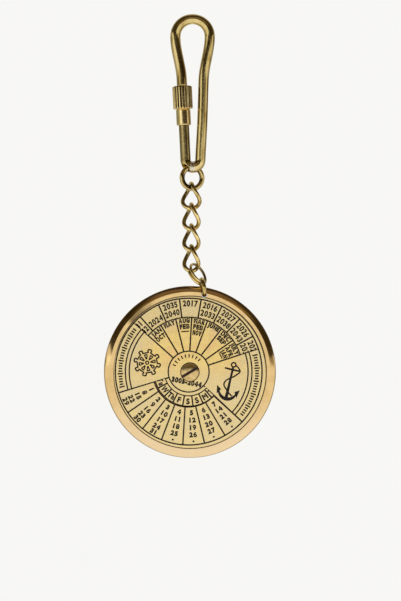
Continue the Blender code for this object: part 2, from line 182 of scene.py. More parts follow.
def spread(tree, value, low, high, to_low=0.0, to_high=1.0):
    node = add(tree, "ShaderNodeMapRange", {
        "Value": value, "From Min": low, "From Max": high, "To Min": to_low, "To Max": to_high})
    node.clamp = True
    return node.outputs[0]


def material(name):
    mat = bpy.data.materials.new(name)
    mat.use_nodes = True
    return mat, mat.node_tree, mat.node_tree.nodes["Principled BSDF"]


def connect(tree, value, shader, name):
    tree.links.new(value, shader.inputs[name])


def bump(tree, shader, height, strength, distance, normal=None):
    values = {"Height": height, "Strength": strength, "Distance": distance * MM}
    if normal is not None:
        values["Normal"] = normal
    out = add(tree, "ShaderNodeBump", values).outputs[0]
    tree.links.new(out, shader.inputs["Normal"])
    return out


def disc_polar(tree):
    """Angle in turns and radius in millimetres about the fob's axis."""
    coords = add(tree, "ShaderNodeTexCoord").outputs["Object"]
    flat = add(tree, "ShaderNodeMapping", {
        "Vector": coords, "Scale": (1000.0, 1000.0, 1000.0),
        "Location": (-AXIS[0], -AXIS[1], -AXIS[2])}).outputs[0]
    parts = add(tree, "ShaderNodeSeparateXYZ", {"Vector": flat})
    angle = math_node(tree, "ARCTAN2", parts.outputs[0], parts.outputs[2])
    squares = math_node(tree, "ADD", math_node(tree, "POWER", parts.outputs[0], 2.0),
                        math_node(tree, "POWER", parts.outputs[2], 2.0))
    return math_node(tree, "DIVIDE", angle, TAU), math_node(tree, "SQRT", squares)


def grimy_brass(name, light, mid, dark, rough, waves=0.12):
    """Drawn or turned brass with a patina that is darkest where parts touch, mixed with painted shade, and a painted
    highlight patch.
    """
    mat, tree, shader = material(name)
    at = in_mm(tree)
    broad = noise(tree, in_mm(tree, (1.0, 1.0, 0.35)), 0.42, 4.0, 0.55, 0.6)
    fine = noise(tree, in_mm(tree, (1.0, 1.0, 0.45)), 2.6, 4.0, 0.6)
    tone = ramp(tree, broad, [(0.30, dark), (0.45, mid), (0.62, light)])
    spots = spread(tree, fine, 0.55, 0.72)
    tone = mix(tree, math_node(tree, "MULTIPLY", spots, 0.35), tone, tuple(0.55 * c for c in mid))
    # a point layer darkens the tone towards brown-black: patina, mixed with painted shade and painted shadow
    near = add(tree, "ShaderNodeAttribute", attribute_name="patina_and_shade").outputs["Fac"]
    darkening = math_node(tree, "MULTIPLY", near, spread(tree, noise(tree, at, 1.6, 3.0, 0.6), 0.30, 0.60, 0.75, 1.0))
    tone = mix(tree, math_node(tree, "MULTIPLY", darkening, 0.90), tone, (0.060, 0.032, 0.010))
    # painted highlight: a point layer paints a pale, rougher patch
    highlight_patch = add(tree, "ShaderNodeAttribute", attribute_name="painted_highlight").outputs["Fac"]
    highlight_patch = math_node(tree, "MULTIPLY", highlight_patch, spread(tree, noise(tree, at, 2.2, 3.0, 0.6), 0.36, 0.50, 0.35, 1.0))
    tone = mix(tree, highlight_patch, tone, (0.78, 0.70, 0.56))
    connect(tree, tone, shader, "Base Color")
    shader.inputs["Metallic"].default_value = 1.0
    matt = spread(tree, fine, 0.3, 0.7, rough[0], rough[1])
    connect(tree, math_node(tree, "MAXIMUM", matt, math_node(tree, "MULTIPLY", highlight_patch, 0.55)), shader, "Roughness")
    grain = noise(tree, in_mm(tree, (1.0, 1.0, 0.25)), 9.0, 3.0, 0.7)
    first = bump(tree, shader, broad, waves, 0.10)
    bump(tree, shader, grain, waves * 0.45, 0.03, first)
    return mat


WIRE = grimy_brass("wire_brass_worn", (0.72, 0.57, 0.26), (0.62, 0.48, 0.19), (0.40, 0.28, 0.095),
                   (0.08, 0.16), 0.07)
CHAIN = grimy_brass("chain_brass_worn", (0.82, 0.64, 0.28), (0.68, 0.52, 0.20), (0.40, 0.28, 0.085),
                    (0.08, 0.16), 0.09)
SLEEVE = grimy_brass("sleeve_brass_turned", (0.88, 0.69, 0.34), (0.80, 0.61, 0.28),
                     (0.62, 0.43, 0.17), (0.06, 0.12), 0.07)


def dial_face():
    """Satin brass sheet with faint pink and yellow patches and hair scratches."""
    mat, tree, shader = material("dial_brass_satin")
    at = in_mm(tree)
    broad = noise(tree, at, 0.16, 3.0, 0.55, 0.8)
    small = noise(tree, at, 0.7, 3.0, 0.6)
    tone = ramp(tree, broad, [(0.30, (0.82, 0.55, 0.235)), (0.46, (0.83, 0.605, 0.235)),
                              (0.60, (0.86, 0.645, 0.235)), (0.74, (0.82, 0.58, 0.285))])
    tone = mix(tree, spread(tree, small, 0.50, 0.80, 0.0, 0.25), tone, (0.70, 0.48, 0.19))
    # the face is paler outwards, and paler towards the bottom as painted light
    _, radius = disc_polar(tree)
    height = add(tree, "ShaderNodeSeparateXYZ", {"Vector": in_mm(tree)}).outputs[2]
    pale = math_node(tree, "MAXIMUM", spread(tree, radius, 12.0, 17.0), spread(tree, height, -104.0, -98.0, 1.0, 0.0))
    pale = math_node(tree, "MULTIPLY", pale, spread(tree, broad, 0.35, 0.60, 0.95, 0.60))
    tone = mix(tree, pale, tone, (0.755, 0.610, 0.325))
    connect(tree, tone, shader, "Base Color")
    shader.inputs["Metallic"].default_value = 1.0
    hair = noise(tree, in_mm(tree, (1.0, 1.0, 0.06), (0.0, math.radians(24), 0.0)), 7.0, 2.0, 0.6)
    cross = noise(tree, in_mm(tree, (0.05, 1.0, 1.0), (0.0, math.radians(-12), 0.0)), 6.0, 2.0, 0.6)
    marks = math_node(tree, "MULTIPLY", math_node(tree, "ADD", hair, cross), 0.5)
    connect(tree, spread(tree, marks, 0.35, 0.65, 0.17, 0.26), shader, "Roughness")
    first = bump(tree, shader, broad, 0.08, 0.10)
    bump(tree, shader, marks, 0.05, 0.02, first)
    return mat


def plate_face():
    """Polished rim and edge, with fine radial wear on the slope."""
    mat, tree, shader = material("plate_brass_polished")
    turn, radius = disc_polar(tree)
    at = in_mm(tree)
    ray = add(tree, "ShaderNodeCombineXYZ", {
        "X": math_node(tree, "MULTIPLY", turn, 60.0), "Y": math_node(tree, "MULTIPLY", radius, 0.12)}).outputs[0]
    streak = noise(tree, ray, 1.6, 4.0, 0.65)
    broad = noise(tree, at, 0.20, 3.0, 0.5, 0.5)
    tone = ramp(tree, broad, [(0.32, (0.66, 0.46, 0.20)), (0.52, (0.74, 0.52, 0.24)), (0.70, (0.78, 0.57, 0.27))])
    tone = mix(tree, spread(tree, streak, 0.45, 0.72, 0.0, 0.25), tone, (0.46, 0.30, 0.11))
    # painted light: the rim is paler below; at the upper left, on its front, a painted dark reflection
    _, depth, height = add(tree, "ShaderNodeSeparateXYZ", {"Vector": at}).outputs
    ahead = spread(tree, depth, -0.25, 0.10, 1.0, 0.0)
    tone = mix(tree, spread(tree, height, -120.0, -108.0, 0.85, 0.0), tone, (0.79, 0.61, 0.37))
    # painted dark reflection at the upper left of the rim's front
    darkening = ramp(tree, math_node(tree, "ADD", turn, 0.5), [
        (0.0, 0.0), (0.354, 0.0), (0.366, 0.85), (0.395, 0.70), (0.430, 0.0), (1.0, 0.0)])
    tone = mix(tree, math_node(tree, "MULTIPLY", darkening, ahead), tone, (0.14, 0.092, 0.036))
    # painted shadow against the dial's edge, and painted shade along the outer brink
    fine = noise(tree, at, 2.2, 3.0, 0.6)
    weight = ramp(tree, math_node(tree, "ADD", turn, 0.5), [
        (0.0, 1.0), (0.20, 1.0), (0.26, 0.30), (0.56, 0.30), (0.64, 0.95), (1.0, 1.0)])
    past = math_node(tree, "SUBTRACT", radius, math_node(tree, "MULTIPLY", weight, 0.26))
    line = math_node(tree, "MULTIPLY", spread(tree, past, 22.05, 22.16, 1.0, 0.0),
                     spread(tree, fine, 0.30, 0.52, 0.75, 1.0))
    line = math_node(tree, "MULTIPLY", line, ahead)
    brink = math_node(tree, "MULTIPLY", spread(tree, radius, 24.78, 24.93), 0.55)
    # and painted shade on the wall of the rim's hole
    from_hole = add(tree, "ShaderNodeSeparateXYZ", {"Vector": in_mm(tree, shift=(
        -AXIS[0] - RIM_HOLE_AT * math.sin(RIM_HOLE_ANGLE), 0.0, -AXIS[2] - RIM_HOLE_AT * math.cos(RIM_HOLE_ANGLE)))})
    from_hole = math_node(tree, "SQRT", math_node(tree, "ADD", math_node(tree, "POWER", from_hole.outputs[0], 2.0),
                                                  math_node(tree, "POWER", from_hole.outputs[2], 2.0)))
    wall = spread(tree, from_hole, RIM_HOLE_R + 0.02, RIM_HOLE_R + 0.10, 0.95, 0.0)
    painted_shade = math_node(tree, "MAXIMUM", math_node(tree, "MAXIMUM", line, brink), wall)
    tone = mix(tree, painted_shade, tone, (0.035, 0.022, 0.010))
    connect(tree, tone, shader, "Base Color")
    shader.inputs["Metallic"].default_value = 1.0
    connect(tree, spread(tree, streak, 0.35, 0.7, 0.07, 0.13), shader, "Roughness")
    first = bump(tree, shader, streak, 0.10, 0.03)
    bump(tree, shader, noise(tree, at, 6.0, 3.0, 0.7), 0.03, 0.02, first)
    return mat


def turned_brass(name, light, dark, at_axis=True):
    """Lathe-turned brass: fine rings about the fob's axis."""
    mat, tree, shader = material(name)
    turn, radius = disc_polar(tree)
    at = in_mm(tree)
    ray = add(tree, "ShaderNodeCombineXYZ", {
        "X": math_node(tree, "MULTIPLY", radius, 9.0), "Y": math_node(tree, "MULTIPLY", turn, 3.0)}).outputs[0]
    lathe_rings = noise(tree, ray, 1.3, 3.0, 0.6)
    broad = noise(tree, at, 0.6, 3.0, 0.55, 0.5)
    tone = mix(tree, spread(tree, broad, 0.35, 0.62), dark, light)
    # the point layer, where set, darkens the screw head's edge: painted shade
    near = add(tree, "ShaderNodeAttribute", attribute_name="patina_and_shade").outputs["Fac"]
    tone = mix(tree, math_node(tree, "MULTIPLY", near, 0.85), tone, (0.045, 0.026, 0.014))
    connect(tree, tone, shader, "Base Color")
    shader.inputs["Metallic"].default_value = 1.0
    connect(tree, spread(tree, lathe_rings, 0.3, 0.7, 0.16, 0.30), shader, "Roughness")
    bump(tree, shader, lathe_rings, 0.10, 0.02)
    return mat


def spring_metal():
    mat, tree, shader = material("spring_steel_satin")
    at = in_mm(tree)
    grain = noise(tree, at, 4.0, 3.0, 0.6)
    connect(tree, mix(tree, grain, (0.42, 0.42, 0.43), (0.62, 0.61, 0.59)), shader, "Base Color")
    shader.inputs["Metallic"].default_value = 1.0
    connect(tree, spread(tree, grain, 0.3, 0.7, 0.25, 0.4), shader, "Roughness")
    return mat


def enamel():
    """The matt black that fills the engraving."""
    mat, tree, shader = material("engraving_black")
    grain = noise(tree, in_mm(tree), 5.0, 3.0, 0.6)
    connect(tree, mix(tree, grain, (0.006, 0.004, 0.003), (0.030, 0.020, 0.012)), shader, "Base Color")
    connect(tree, spread(tree, grain, 0.3, 0.7, 0.45, 0.7), shader, "Roughness")
    shader.inputs["Specular IOR Level"].default_value = 0.25
    return mat


def tarnish():
    """Brown tarnish and soil down in the screw's slot."""
    mat, tree, shader = material("slot_tarnish")
    grain = noise(tree, in_mm(tree), 3.2, 3.0, 0.6)
    connect(tree, mix(tree, spread(tree, grain, 0.35, 0.65), (0.030, 0.014, 0.012), (0.085, 0.045, 0.032)),
            shader, "Base Color")
    shader.inputs["Metallic"].default_value = 0.65
    connect(tree, spread(tree, grain, 0.3, 0.7, 0.38, 0.55), shader, "Roughness")
    return mat


DIAL = dial_face()
PLATE = plate_face()
SCREW = turned_brass("screw_brass_turned", (0.78, 0.57, 0.27), (0.52, 0.36, 0.14))
SPRING = spring_metal()
BLACK = enamel()
TARNISH = tarnish()

# ------------------------------------------------------------------- helpers


def solid(name, verts, faces, mats, body, slot, node=None, bands=None, angle=32.0, weld=1e-7):
    """A closed mesh from millimetre world points, riding on a body."""
    mesh = bpy.data.meshes.new(name)
    mesh.from_pydata((np.asarray(verts, float) * MM).tolist(), [], [list(map(int, f)) for f in faces])
    for mat in mats:
        mesh.materials.append(mat)
    if bands is not None:
        mesh.polygons.foreach_set("material_index", np.asarray(bands, np.int32))
    bm = bmesh.new()
    bm.from_mesh(mesh)
    bmesh.ops.remove_doubles(bm, verts=bm.verts, dist=weld)
    bmesh.ops.recalc_face_normals(bm, faces=bm.faces)
    bm.to_mesh(mesh)
    bm.free()
    obj = bpy.data.objects.new(name, mesh)
    scene.collection.objects.link(obj)
    shade(obj, angle)
    if body:
        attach(obj, body)
        if node:
            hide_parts(node)
    return obj


def shade(obj, angle=32.0):
    obj.data.shade_smooth()
    obj.data.set_sharp_from_angle(angle=math.radians(angle))


def sound(mesh, before, whole):
    """Whether a cut mesh is closed, inside its old box and, if whole, one body."""
    bm = bmesh.new()
    bm.from_mesh(mesh)
    points = np.array([v.co for v in bm.verts])
    good = len(points) > 3 and all(len(e.link_faces) == 2 for e in bm.edges)
    good = good and bool(np.all(points.min(axis=0) > before.min(axis=0) - 1e-6)
                         and np.all(points.max(axis=0) < before.max(axis=0) + 1e-6))
    if good and whole:
        seen, stack = set(), [bm.verts[:][0]]
        while stack:
            vert = stack.pop()
            if vert.index not in seen:
                seen.add(vert.index)
                stack += [e.other_vert(vert) for e in vert.link_edges]
        good = len(seen) == len(bm.verts)
    bm.free()
    return good


def difference(obj, cutter, whole=True):
    """Cuts the cutter's shape out of obj and removes the cutter. A cut that
    spoils the mesh is made again with the cutter a few microns aside."""
    before = np.array([v.co for v in obj.data.vertices])
    boolean = obj.modifiers.new("cut", "BOOLEAN")
    boolean.operation, boolean.solver, boolean.object = "DIFFERENCE", "EXACT", cutter
    for k in range(12):
        aside = 0.003 * k * MM
        cutter.location = (aside * math.cos(2.4 * k), 0.5 * aside, aside * math.sin(2.4 * k))
        bpy.context.view_layer.update()
        graph = bpy.context.evaluated_depsgraph_get()
        mesh = bpy.data.meshes.new_from_object(obj.evaluated_get(graph))
        if sound(mesh, before, whole):
            break
        print("cut again:", obj.name, k)
        bpy.data.meshes.remove(mesh)
    else:
        raise RuntimeError(f"no clean cut of {obj.name}")
    obj.modifiers.clear()
    old, obj.data = obj.data, mesh
    mesh.name = old.name
    bpy.data.meshes.remove(old)
    bpy.data.objects.remove(cutter, do_unlink=True)


def cutter_from(verts, faces):
    mesh = bpy.data.meshes.new("cutter")
    mesh.from_pydata((np.asarray(verts, float) * MM).tolist(), [], [list(map(int, f)) for f in faces])
    bm = bmesh.new()
    bm.from_mesh(mesh)
    bmesh.ops.remove_doubles(bm, verts=bm.verts, dist=1e-7)
    bmesh.ops.recalc_face_normals(bm, faces=bm.faces)
    bm.to_mesh(mesh)
    bm.free()
    obj = bpy.data.objects.new("cutter", mesh)
    scene.collection.objects.link(obj)
    return obj


def sweep(points, radius, sides, normal=None, thick=None, round_ends=True, ease=0.14):
    """Vertices and faces of a round wire; thick is (points, sides) factors and
    ease how much of its radius the edge of a cut end gives way."""
    pts = np.asarray(points, float)
    if thick is None:
        thick = np.ones((len(pts), sides))
    thick = np.asarray(thick, float)
    if thick.ndim == 1:
        thick = np.repeat(thick[:, None], sides, axis=1)
    if round_ends:
        soft = 1.15 * ease * radius
        d0, d1 = pts[1] - pts[0], pts[-2] - pts[-1]
        a = pts[0] + d0 / np.linalg.norm(d0) * soft
        b = pts[-1] + d1 / np.linalg.norm(d1) * soft
        while np.dot(pts[1] - a, d0) <= 0.0:
            pts, thick = np.delete(pts, 1, axis=0), np.delete(thick, 1, axis=0)
        while np.dot(pts[-2] - b, d1) <= 0.0:
            pts, thick = np.delete(pts, -2, axis=0), np.delete(thick, -2, axis=0)
        pts = np.vstack([pts[:1], a[None], pts[1:-1], b[None], pts[-1:]])
        thick = np.vstack([thick[:1] * (1 - ease), thick[:1], thick[1:-1], thick[-1:], thick[-1:] * (1 - ease)])
    tangent = np.empty_like(pts)
    tangent[1:-1] = pts[2:] - pts[:-2]
    tangent[0], tangent[-1] = pts[1] - pts[0], pts[-1] - pts[-2]
    tangent /= np.linalg.norm(tangent, axis=1)[:, None]
    normals = np.empty_like(pts)
    ref = np.array(normal if normal is not None else (0.0, 1.0, 0.0), float)
    if normal is None and abs(np.dot(ref, tangent[0])) > 0.9:
        ref = np.array((1.0, 0.0, 0.0))
    for i, t in enumerate(tangent):
        base = np.array(normal, float) if normal is not None else ref
        ref = base - t * np.dot(base, t)
        ref /= np.linalg.norm(ref)
        normals[i] = ref
    side = np.cross(tangent, normals)
    phi = TAU * np.arange(sides) / sides
    verts = (pts[:, None, :] + radius * thick[:, :, None]
             * (np.cos(phi)[None, :, None] * normals[:, None, :] + np.sin(phi)[None, :, None] * side[:, None, :]))
    n = len(pts)
    faces = [(i * sides + k, i * sides + (k + 1) % sides, (i + 1) * sides + (k + 1) % sides, (i + 1) * sides + k)
             for i in range(n - 1) for k in range(sides)]
    faces.append(tuple(range(sides))[::-1])
    faces.append(tuple((n - 1) * sides + k for k in range(sides)))
    return verts.reshape(-1, 3), faces


def lathe(rows, sides, closed=True):
    """(u, v, d) surface through circles; a row is (radius, d[, centre u, v])."""
    verts, faces = [], []
    for row in rows:
        r, d = row[:2]
        cu, cv = row[2:] if len(row) > 2 else (0.0, 0.0)
        for k in range(sides):
            a = TAU * k / sides
            verts.append((cu + r * math.sin(a), cv + r * math.cos(a), d))
    n = len(rows)
    for i in range(n if closed else n - 1):
        j = (i + 1) % n
        for k in range(sides):
            m = (k + 1) % sides
            quad = [i * sides + k, i * sides + m, j * sides + m, j * sides + k]
            if rows[i][0] == 0.0:
                quad = [quad[0], quad[2], quad[3]]
            elif rows[j][0] == 0.0:
                quad = quad[:3]
            faces.append(tuple(quad))
    return np.array(verts), faces


def world(uvd):
    """World millimetres of (u, v, d) points."""
    uvd = np.asarray(uvd, float)
    return np.stack([AXIS[0] + uvd[:, 0], AXIS[1] - uvd[:, 2], AXIS[2] + uvd[:, 1]], axis=1)


def joined(parts):
    """One list of vertices and faces from several, and each face's part."""
    verts, faces, owner = [], [], []
    start = 0
    for i, (v, f) in enumerate(parts):
        verts.append(np.asarray(v, float))
        faces += [tuple(k + start for k in face) for face in f]
        owner += [i] * len(f)
        start += len(v)
    return np.vstack(verts), faces, owner


# ------------------------------------------------------------ wires and rings


def left_leg_x(z):
    x0 = BEND[0] - BEND_R * math.cos(LEFT_LEAN)
    z0 = BEND[1] - BEND_R * math.sin(LEFT_LEAN)
    return x0 - math.tan(LEFT_LEAN) * (z - z0)


def right_leg_x(z):
    x0 = BEND[0] + BEND_R * math.cos(RIGHT_LEAN)
    z0 = BEND[1] - BEND_R * math.sin(RIGHT_LEAN)
    run = min(max((z - z0) / (FLARE_Z - z0), 0.0), 1.0)
    return x0 + math.tan(RIGHT_LEAN) * (z - z0) + RIGHT_BOW * math.sin(PI * run) ** 2


def flare(x0, lean, x1, z1, steps):
    """From a leaning leg at FLARE_Z to the upright start of the bow."""
    out, dz = [], z1 - FLARE_Z
    for i in range(1, steps):
        t = i / steps
        h00, h10, h01 = 2 * t**3 - 3 * t**2 + 1, t**3 - 2 * t**2 + t, -2 * t**3 + 3 * t**2
        out.append((h00 * x0 + h10 * lean * dz + h01 * x1, FLARE_Z + dz * t))
    return out


def spaced(z0, z1, step):
    n = max(1, round(abs(z1 - z0) / step))
    return [z0 + (z1 - z0) * i / n for i in range(n + 1)]


def shackle_mesh(sides=64):
    path, thick = [], []
    phi = np.arange(sides) / sides

    def put(x, z, swell=1.0, thread=None):
        path.append((x, 0.0, z))
        row = np.full(sides, swell)
        if thread is not None:
            along, hand = thread
            wave = np.abs(((along / THREAD_PITCH + hand * phi) % 1.0) * 2 - 1)
            fade = min(1.0, (THREAD_L - along) / 0.5, (along + 0.25) / 0.3)
            row -= THREAD_DEPTH / WIRE_R * (1 - wave) * max(fade, 0.0)
        thick.append(row)

    for z in spaced(GAP_TOP, GAP_TOP + THREAD_L, THREAD_PITCH / 10)[:-1]:
        put(left_leg_x(z), z, thread=(z - GAP_TOP, 1))
    for z in spaced(GAP_TOP + THREAD_L, FLARE_Z, 0.5):
        put(left_leg_x(z), z)
    bow_z = WIRE_R - BOW_R
    for x, z in flare(left_leg_x(FLARE_Z), -math.tan(LEFT_LEAN), BOW_X - BOW_R, bow_z, 24):
        put(x, z)
    for i in range(73):
        a = PI - PI * i / 72
        put(BOW_X + BOW_R * math.cos(a), bow_z + BOW_R * math.sin(a))
    for x, z in reversed(flare(right_leg_x(FLARE_Z), math.tan(RIGHT_LEAN), BOW_X + BOW_R, bow_z, 24)):
        put(x, z)
    for z in spaced(FLARE_Z, BEND[1] + 0.4, 0.6):
        put(right_leg_x(z), z)
    for i in range(57):
        a = -RIGHT_LEAN - (PI - RIGHT_LEAN - LEFT_LEAN) * i / 56
        put(BEND[0] + BEND_R * math.cos(a), BEND[1] + BEND_R * math.sin(a),
            1.0 + FOOT_SWELL * math.sin(-a) ** 2)
    for z in spaced(BEND[1] + 0.4, GAP_LOW - THREAD_L, 0.6):
        put(left_leg_x(z), z)
    for z in spaced(GAP_LOW - THREAD_L, GAP_LOW, THREAD_PITCH / 10)[1:]:
        put(left_leg_x(z), z, thread=(GAP_LOW - z, -1))
    return sweep(path, WIRE_R, sides, normal=(0.0, 1.0, 0.0), thick=np.array(thick))


def ring_point(centre, radius, along, up, angle):
    return (Vector(centre) + radius * math.sin(angle) * Vector(along)
            + radius * math.cos(angle) * Vector(up))


def open_ring(radius, count, seam_angle):
    half = SEAM / 2 / radius
    return [seam_angle + half + (TAU - 2 * half) * i / count for i in range(count + 1)]


shackle = solid("shackle_wire", *shackle_mesh(), [WIRE], "shackle", "wire_brass", "shackle")
eye_axis = Vector((math.cos(EYE_TURN), math.sin(EYE_TURN), 0.0))
drill_path = [Vector(EYE) + eye_axis * t for t in (-6.0, 6.0)]
difference(shackle, cutter_from(*sweep([tuple(p) for p in drill_path], EYE_R, 64, round_ends=False)))
for k in range(7):
    turn = Matrix.Rotation(math.radians(EYE_SWING * (k - 3) / 3), 3, eye_axis)
    up = turn @ Vector((0.0, 0.0, 1.0))
    arc = [tuple(ring_point(Vector(EYE) - JUMP_R * up, JUMP_R, eye_axis, up, math.radians(-80 + 160 * i / 48)))
           for i in range(49)]
    difference(shackle, cutter_from(*sweep(arc, JUMP_WIRE + EYE_CLEAR, 32, round_ends=False)))
shade(shackle, 34.0)


def sleeve_mesh(per_ridge=14):
    """Ridged barrel and plain collar about local Z."""
    sides = RIDGES * per_ridge
    theta = TAU * np.arange(sides) / sides
    across = np.abs((theta / TAU * RIDGES) % 1.0 - 0.5) * 2       # 0 in a groove, 1 on a crest
    groove = np.clip(1 - across / 0.52, 0.0, 1.0)
    crest = np.clip((across - 0.45) / 0.55, 0.0, 1.0)
    ridged = KNURL_R - 0.27 * groove ** 0.9 - 0.035 * (1 - crest) ** 2
    top = COLLAR_L + KNURL_L
    rows = [(np.full(sides, SLEEVE_BORE_R + 0.25), top)]
    chamfer = [(0.40, 0.0), (0.30, 0.02), (0.20, 0.07), (0.12, 0.13), (0.06, 0.20), (0.02, 0.28), (0.0, 0.36)]
    for inset, down in chamfer:
        rows.append((np.minimum(ridged, KNURL_R - inset), top - down))
    for z in [top - 0.39, *spaced(top - 0.8, COLLAR_L + 0.8, 0.9), COLLAR_L + 0.39]:
        rows.append((ridged, z))
    for inset, down in reversed(chamfer):
        rows.append((np.minimum(ridged, KNURL_R - inset), COLLAR_L + down))
    for r, z in ((2.20, COLLAR_L), (2.13, COLLAR_L - 0.03), (2.05, COLLAR_L - 0.10), (2.05, COLLAR_L - 0.28),
                 (2.10, COLLAR_L - 0.34), (2.10, COLLAR_L - 0.38), (2.10, 2.4), (2.10, 0.30), (2.10, 0.26),
                 (2.085, 0.18), (2.03, 0.08), (1.94, 0.01),
                 (1.86, 0.0), (SLEEVE_BORE_R + 0.06, 0.0), (SLEEVE_BORE_R, 0.06), (SLEEVE_BORE_R, top - 0.25)):
        rows.append((np.full(sides, r), z))
    turn = np.array(Matrix.Rotation(-LEFT_LEAN, 3, "Y"))
    at = np.array((left_leg_x(SLEEVE_FOOT_Z), 0.0, SLEEVE_FOOT_Z))
    verts = []
    for r, z in rows:
        local = np.stack([r * np.cos(theta), r * np.sin(theta), np.full(sides, z)], axis=1)
        verts.append(local @ turn.T + at)
    n = len(rows)
    faces = [(i * sides + k, i * sides + (k + 1) % sides, (i + 1) % n * sides + (k + 1) % sides, (i + 1) % n * sides + k)
             for i in range(n) for k in range(sides)]
    return np.vstack(verts), faces


sleeve = solid("lock_sleeve_knurled", *sleeve_mesh(), [SLEEVE], "lock_sleeve", "sleeve_brass", "lock_sleeve", angle=40.0)

points = [tuple(ring_point(Vector(EYE) - Vector((0, 0, JUMP_R)), JUMP_R, eye_axis, (0, 0, 1), a))
          for a in open_ring(JUMP_R, 160, math.radians(262))]
jump = solid("jump_ring_wire", *sweep(points, JUMP_WIRE, 40, ease=0.03), [CHAIN], "jump_ring", "wire_brass", "jump_ring")


def link_twist(z):
    t = max((LINK_H - z) / (2 * LINK_H), 0.0)
    return TWIST_TOP + (TWIST_LOW - TWIST_TOP) * t ** TWIST_EASE


def link_points(half_width, count=160, seam=math.radians(100)):
    """A twisted oval with its seam on one side."""
    out, half = [], SEAM / 2 / LINK_H
    for i in range(count + 1):
        a = seam + half + (TAU - 2 * half) * i / count
        z, u = LINK_H * math.cos(a), half_width * math.sin(a)
        f = link_twist(z)
        out.append(Vector((u * math.cos(f), u * math.sin(f), z)))
    return out


first_top = EYE[2] - 2 * JUMP_R + JUMP_WIRE + LINK_WIRE + FIRST_GAP
link_step = 2 * LINK_H - (2 * LINK_WIRE + LINK_GAP)
links = []
for k, (w, x) in enumerate(zip(LINK_W, LINK_X)):
    centre = Vector((x, 0.0, first_top - LINK_H - k * link_step))
    points = [tuple(p + centre) for p in link_points(w)]
    links.append(solid(f"curb_link_{k + 1}", *sweep(points, LINK_WIRE, 32, ease=0.03), [CHAIN],
                       f"chain_link_{k + 1}", "wire_brass", f"chain_link_{k + 1}"))


def lap_frame():
    """Axes of the lapped ring: across its coil, back, and up along it."""
    tilt, lean = math.radians(LAP_TILT), math.radians(LAP_LEAN)
    down = Vector((math.sin(tilt), 0.0, -math.cos(tilt)))
    across = Vector((math.cos(tilt), 0.0, math.sin(tilt)))
    back = Vector((0.0, 1.0, 0.0))
    a = across * math.cos(lean) + back * math.sin(lean)
    b = back * math.cos(lean) - across * math.sin(lean)
    return Matrix((a, b, -down)).transposed()


lap = lap_frame()
points = []
for i in range(201):
    q = (i / 200 - 0.5) * TAU * LAP_TURNS
    s = q + math.radians(LAP_ROLL) + PI
    local = Vector((LAP_PITCH * q / TAU, -LAP_R * math.cos(s), -LAP_R * math.sin(s)))
    points.append(tuple(lap @ local + Vector(LAP_AT)))
connecting = solid("connecting_ring_wire", *sweep(points, LAP_WIRE, 32), [CHAIN],
                   "connecting_ring", "wire_brass", "connecting_ring")

hole = (AXIS[0] + RIM_HOLE_AT * math.sin(RIM_HOLE_ANGLE), AXIS[1],
        AXIS[2] + RIM_HOLE_AT * math.cos(RIM_HOLE_ANGLE))
bail = Matrix.Rotation(math.radians(-BAIL_TILT), 3, "Y") @ Matrix.Rotation(math.radians(-BAIL_TURN), 3, "Z")
bail_at = Vector(hole) + Vector(BAIL_IN_HOLE) + bail @ Vector((0.0, 0.0, BAIL_R))
points = [tuple(bail @ ring_point((0, 0, 0), BAIL_R, (0, 1, 0), (0, 0, 1), a) + bail_at)
          for a in open_ring(BAIL_R, 140, math.radians(60))]
bail_ring = solid("bail_ring_wire", *sweep(points, BAIL_WIRE, 40, ease=0.03), [CHAIN], "bail_ring", "wire_brass", "bail_ring")

# --------------------------------------------------------- flat outlines, text


def on_arc(r, a, centre=ENGRAVED):
    """Point at radius r and a degrees clockwise from the top."""
    a = math.radians(a)
    return (centre[0] + r * math.sin(a), centre[1] + r * math.cos(a))


def arc(r, a0, a1, centre=ENGRAVED, step=1.2):
    n = max(2, int(abs(a1 - a0) / step) + 1)
    return [on_arc(r, a0 + (a1 - a0) * i / n, centre) for i in range(n + 1)]


def gap(r):
    """Degrees that half an engraved line covers at radius r."""
    return math.degrees(math.asin(LINE / r))


def cell(r0, r1, a0, a1, centre=ENGRAVED):
    """A sector whose sides stand back from the lines at a0 and a1."""
    return (arc(r1, a0 + gap(r1), a1 - gap(r1), centre)
            + arc(r0, a1 - gap(r0), a0 + gap(r0), centre))


def circle(r, centre=ENGRAVED, count=256):
    return [on_arc(r, 360.0 * i / count, centre) for i in range(count)]


def area(loop):
    p = np.asarray(loop, float)
    q = np.roll(p, -1, axis=0)
    return 0.5 * float(np.sum(p[:, 0] * q[:, 1] - q[:, 0] * p[:, 1]))


def offset(loop, by):
    """The loop moved outwards by a distance, corners mitred up to a limit."""
    p = np.asarray(loop, float)
    sign = 1.0 if area(loop) > 0 else -1.0
    a, b = p - np.roll(p, 1, axis=0), np.roll(p, -1, axis=0) - p
    a /= np.maximum(np.linalg.norm(a, axis=1), 1e-9)[:, None]
    b /= np.maximum(np.linalg.norm(b, axis=1), 1e-9)[:, None]
    na = np.stack([a[:, 1], -a[:, 0]], axis=1) * sign
    nb = np.stack([b[:, 1], -b[:, 0]], axis=1) * sign
    m = na + nb
    m /= np.maximum(np.linalg.norm(m, axis=1), 1e-9)[:, None]
    reach = 1.0 / np.maximum(np.sum(m * na, axis=1), 0.55)
    return p + m * (by * reach)[:, None]


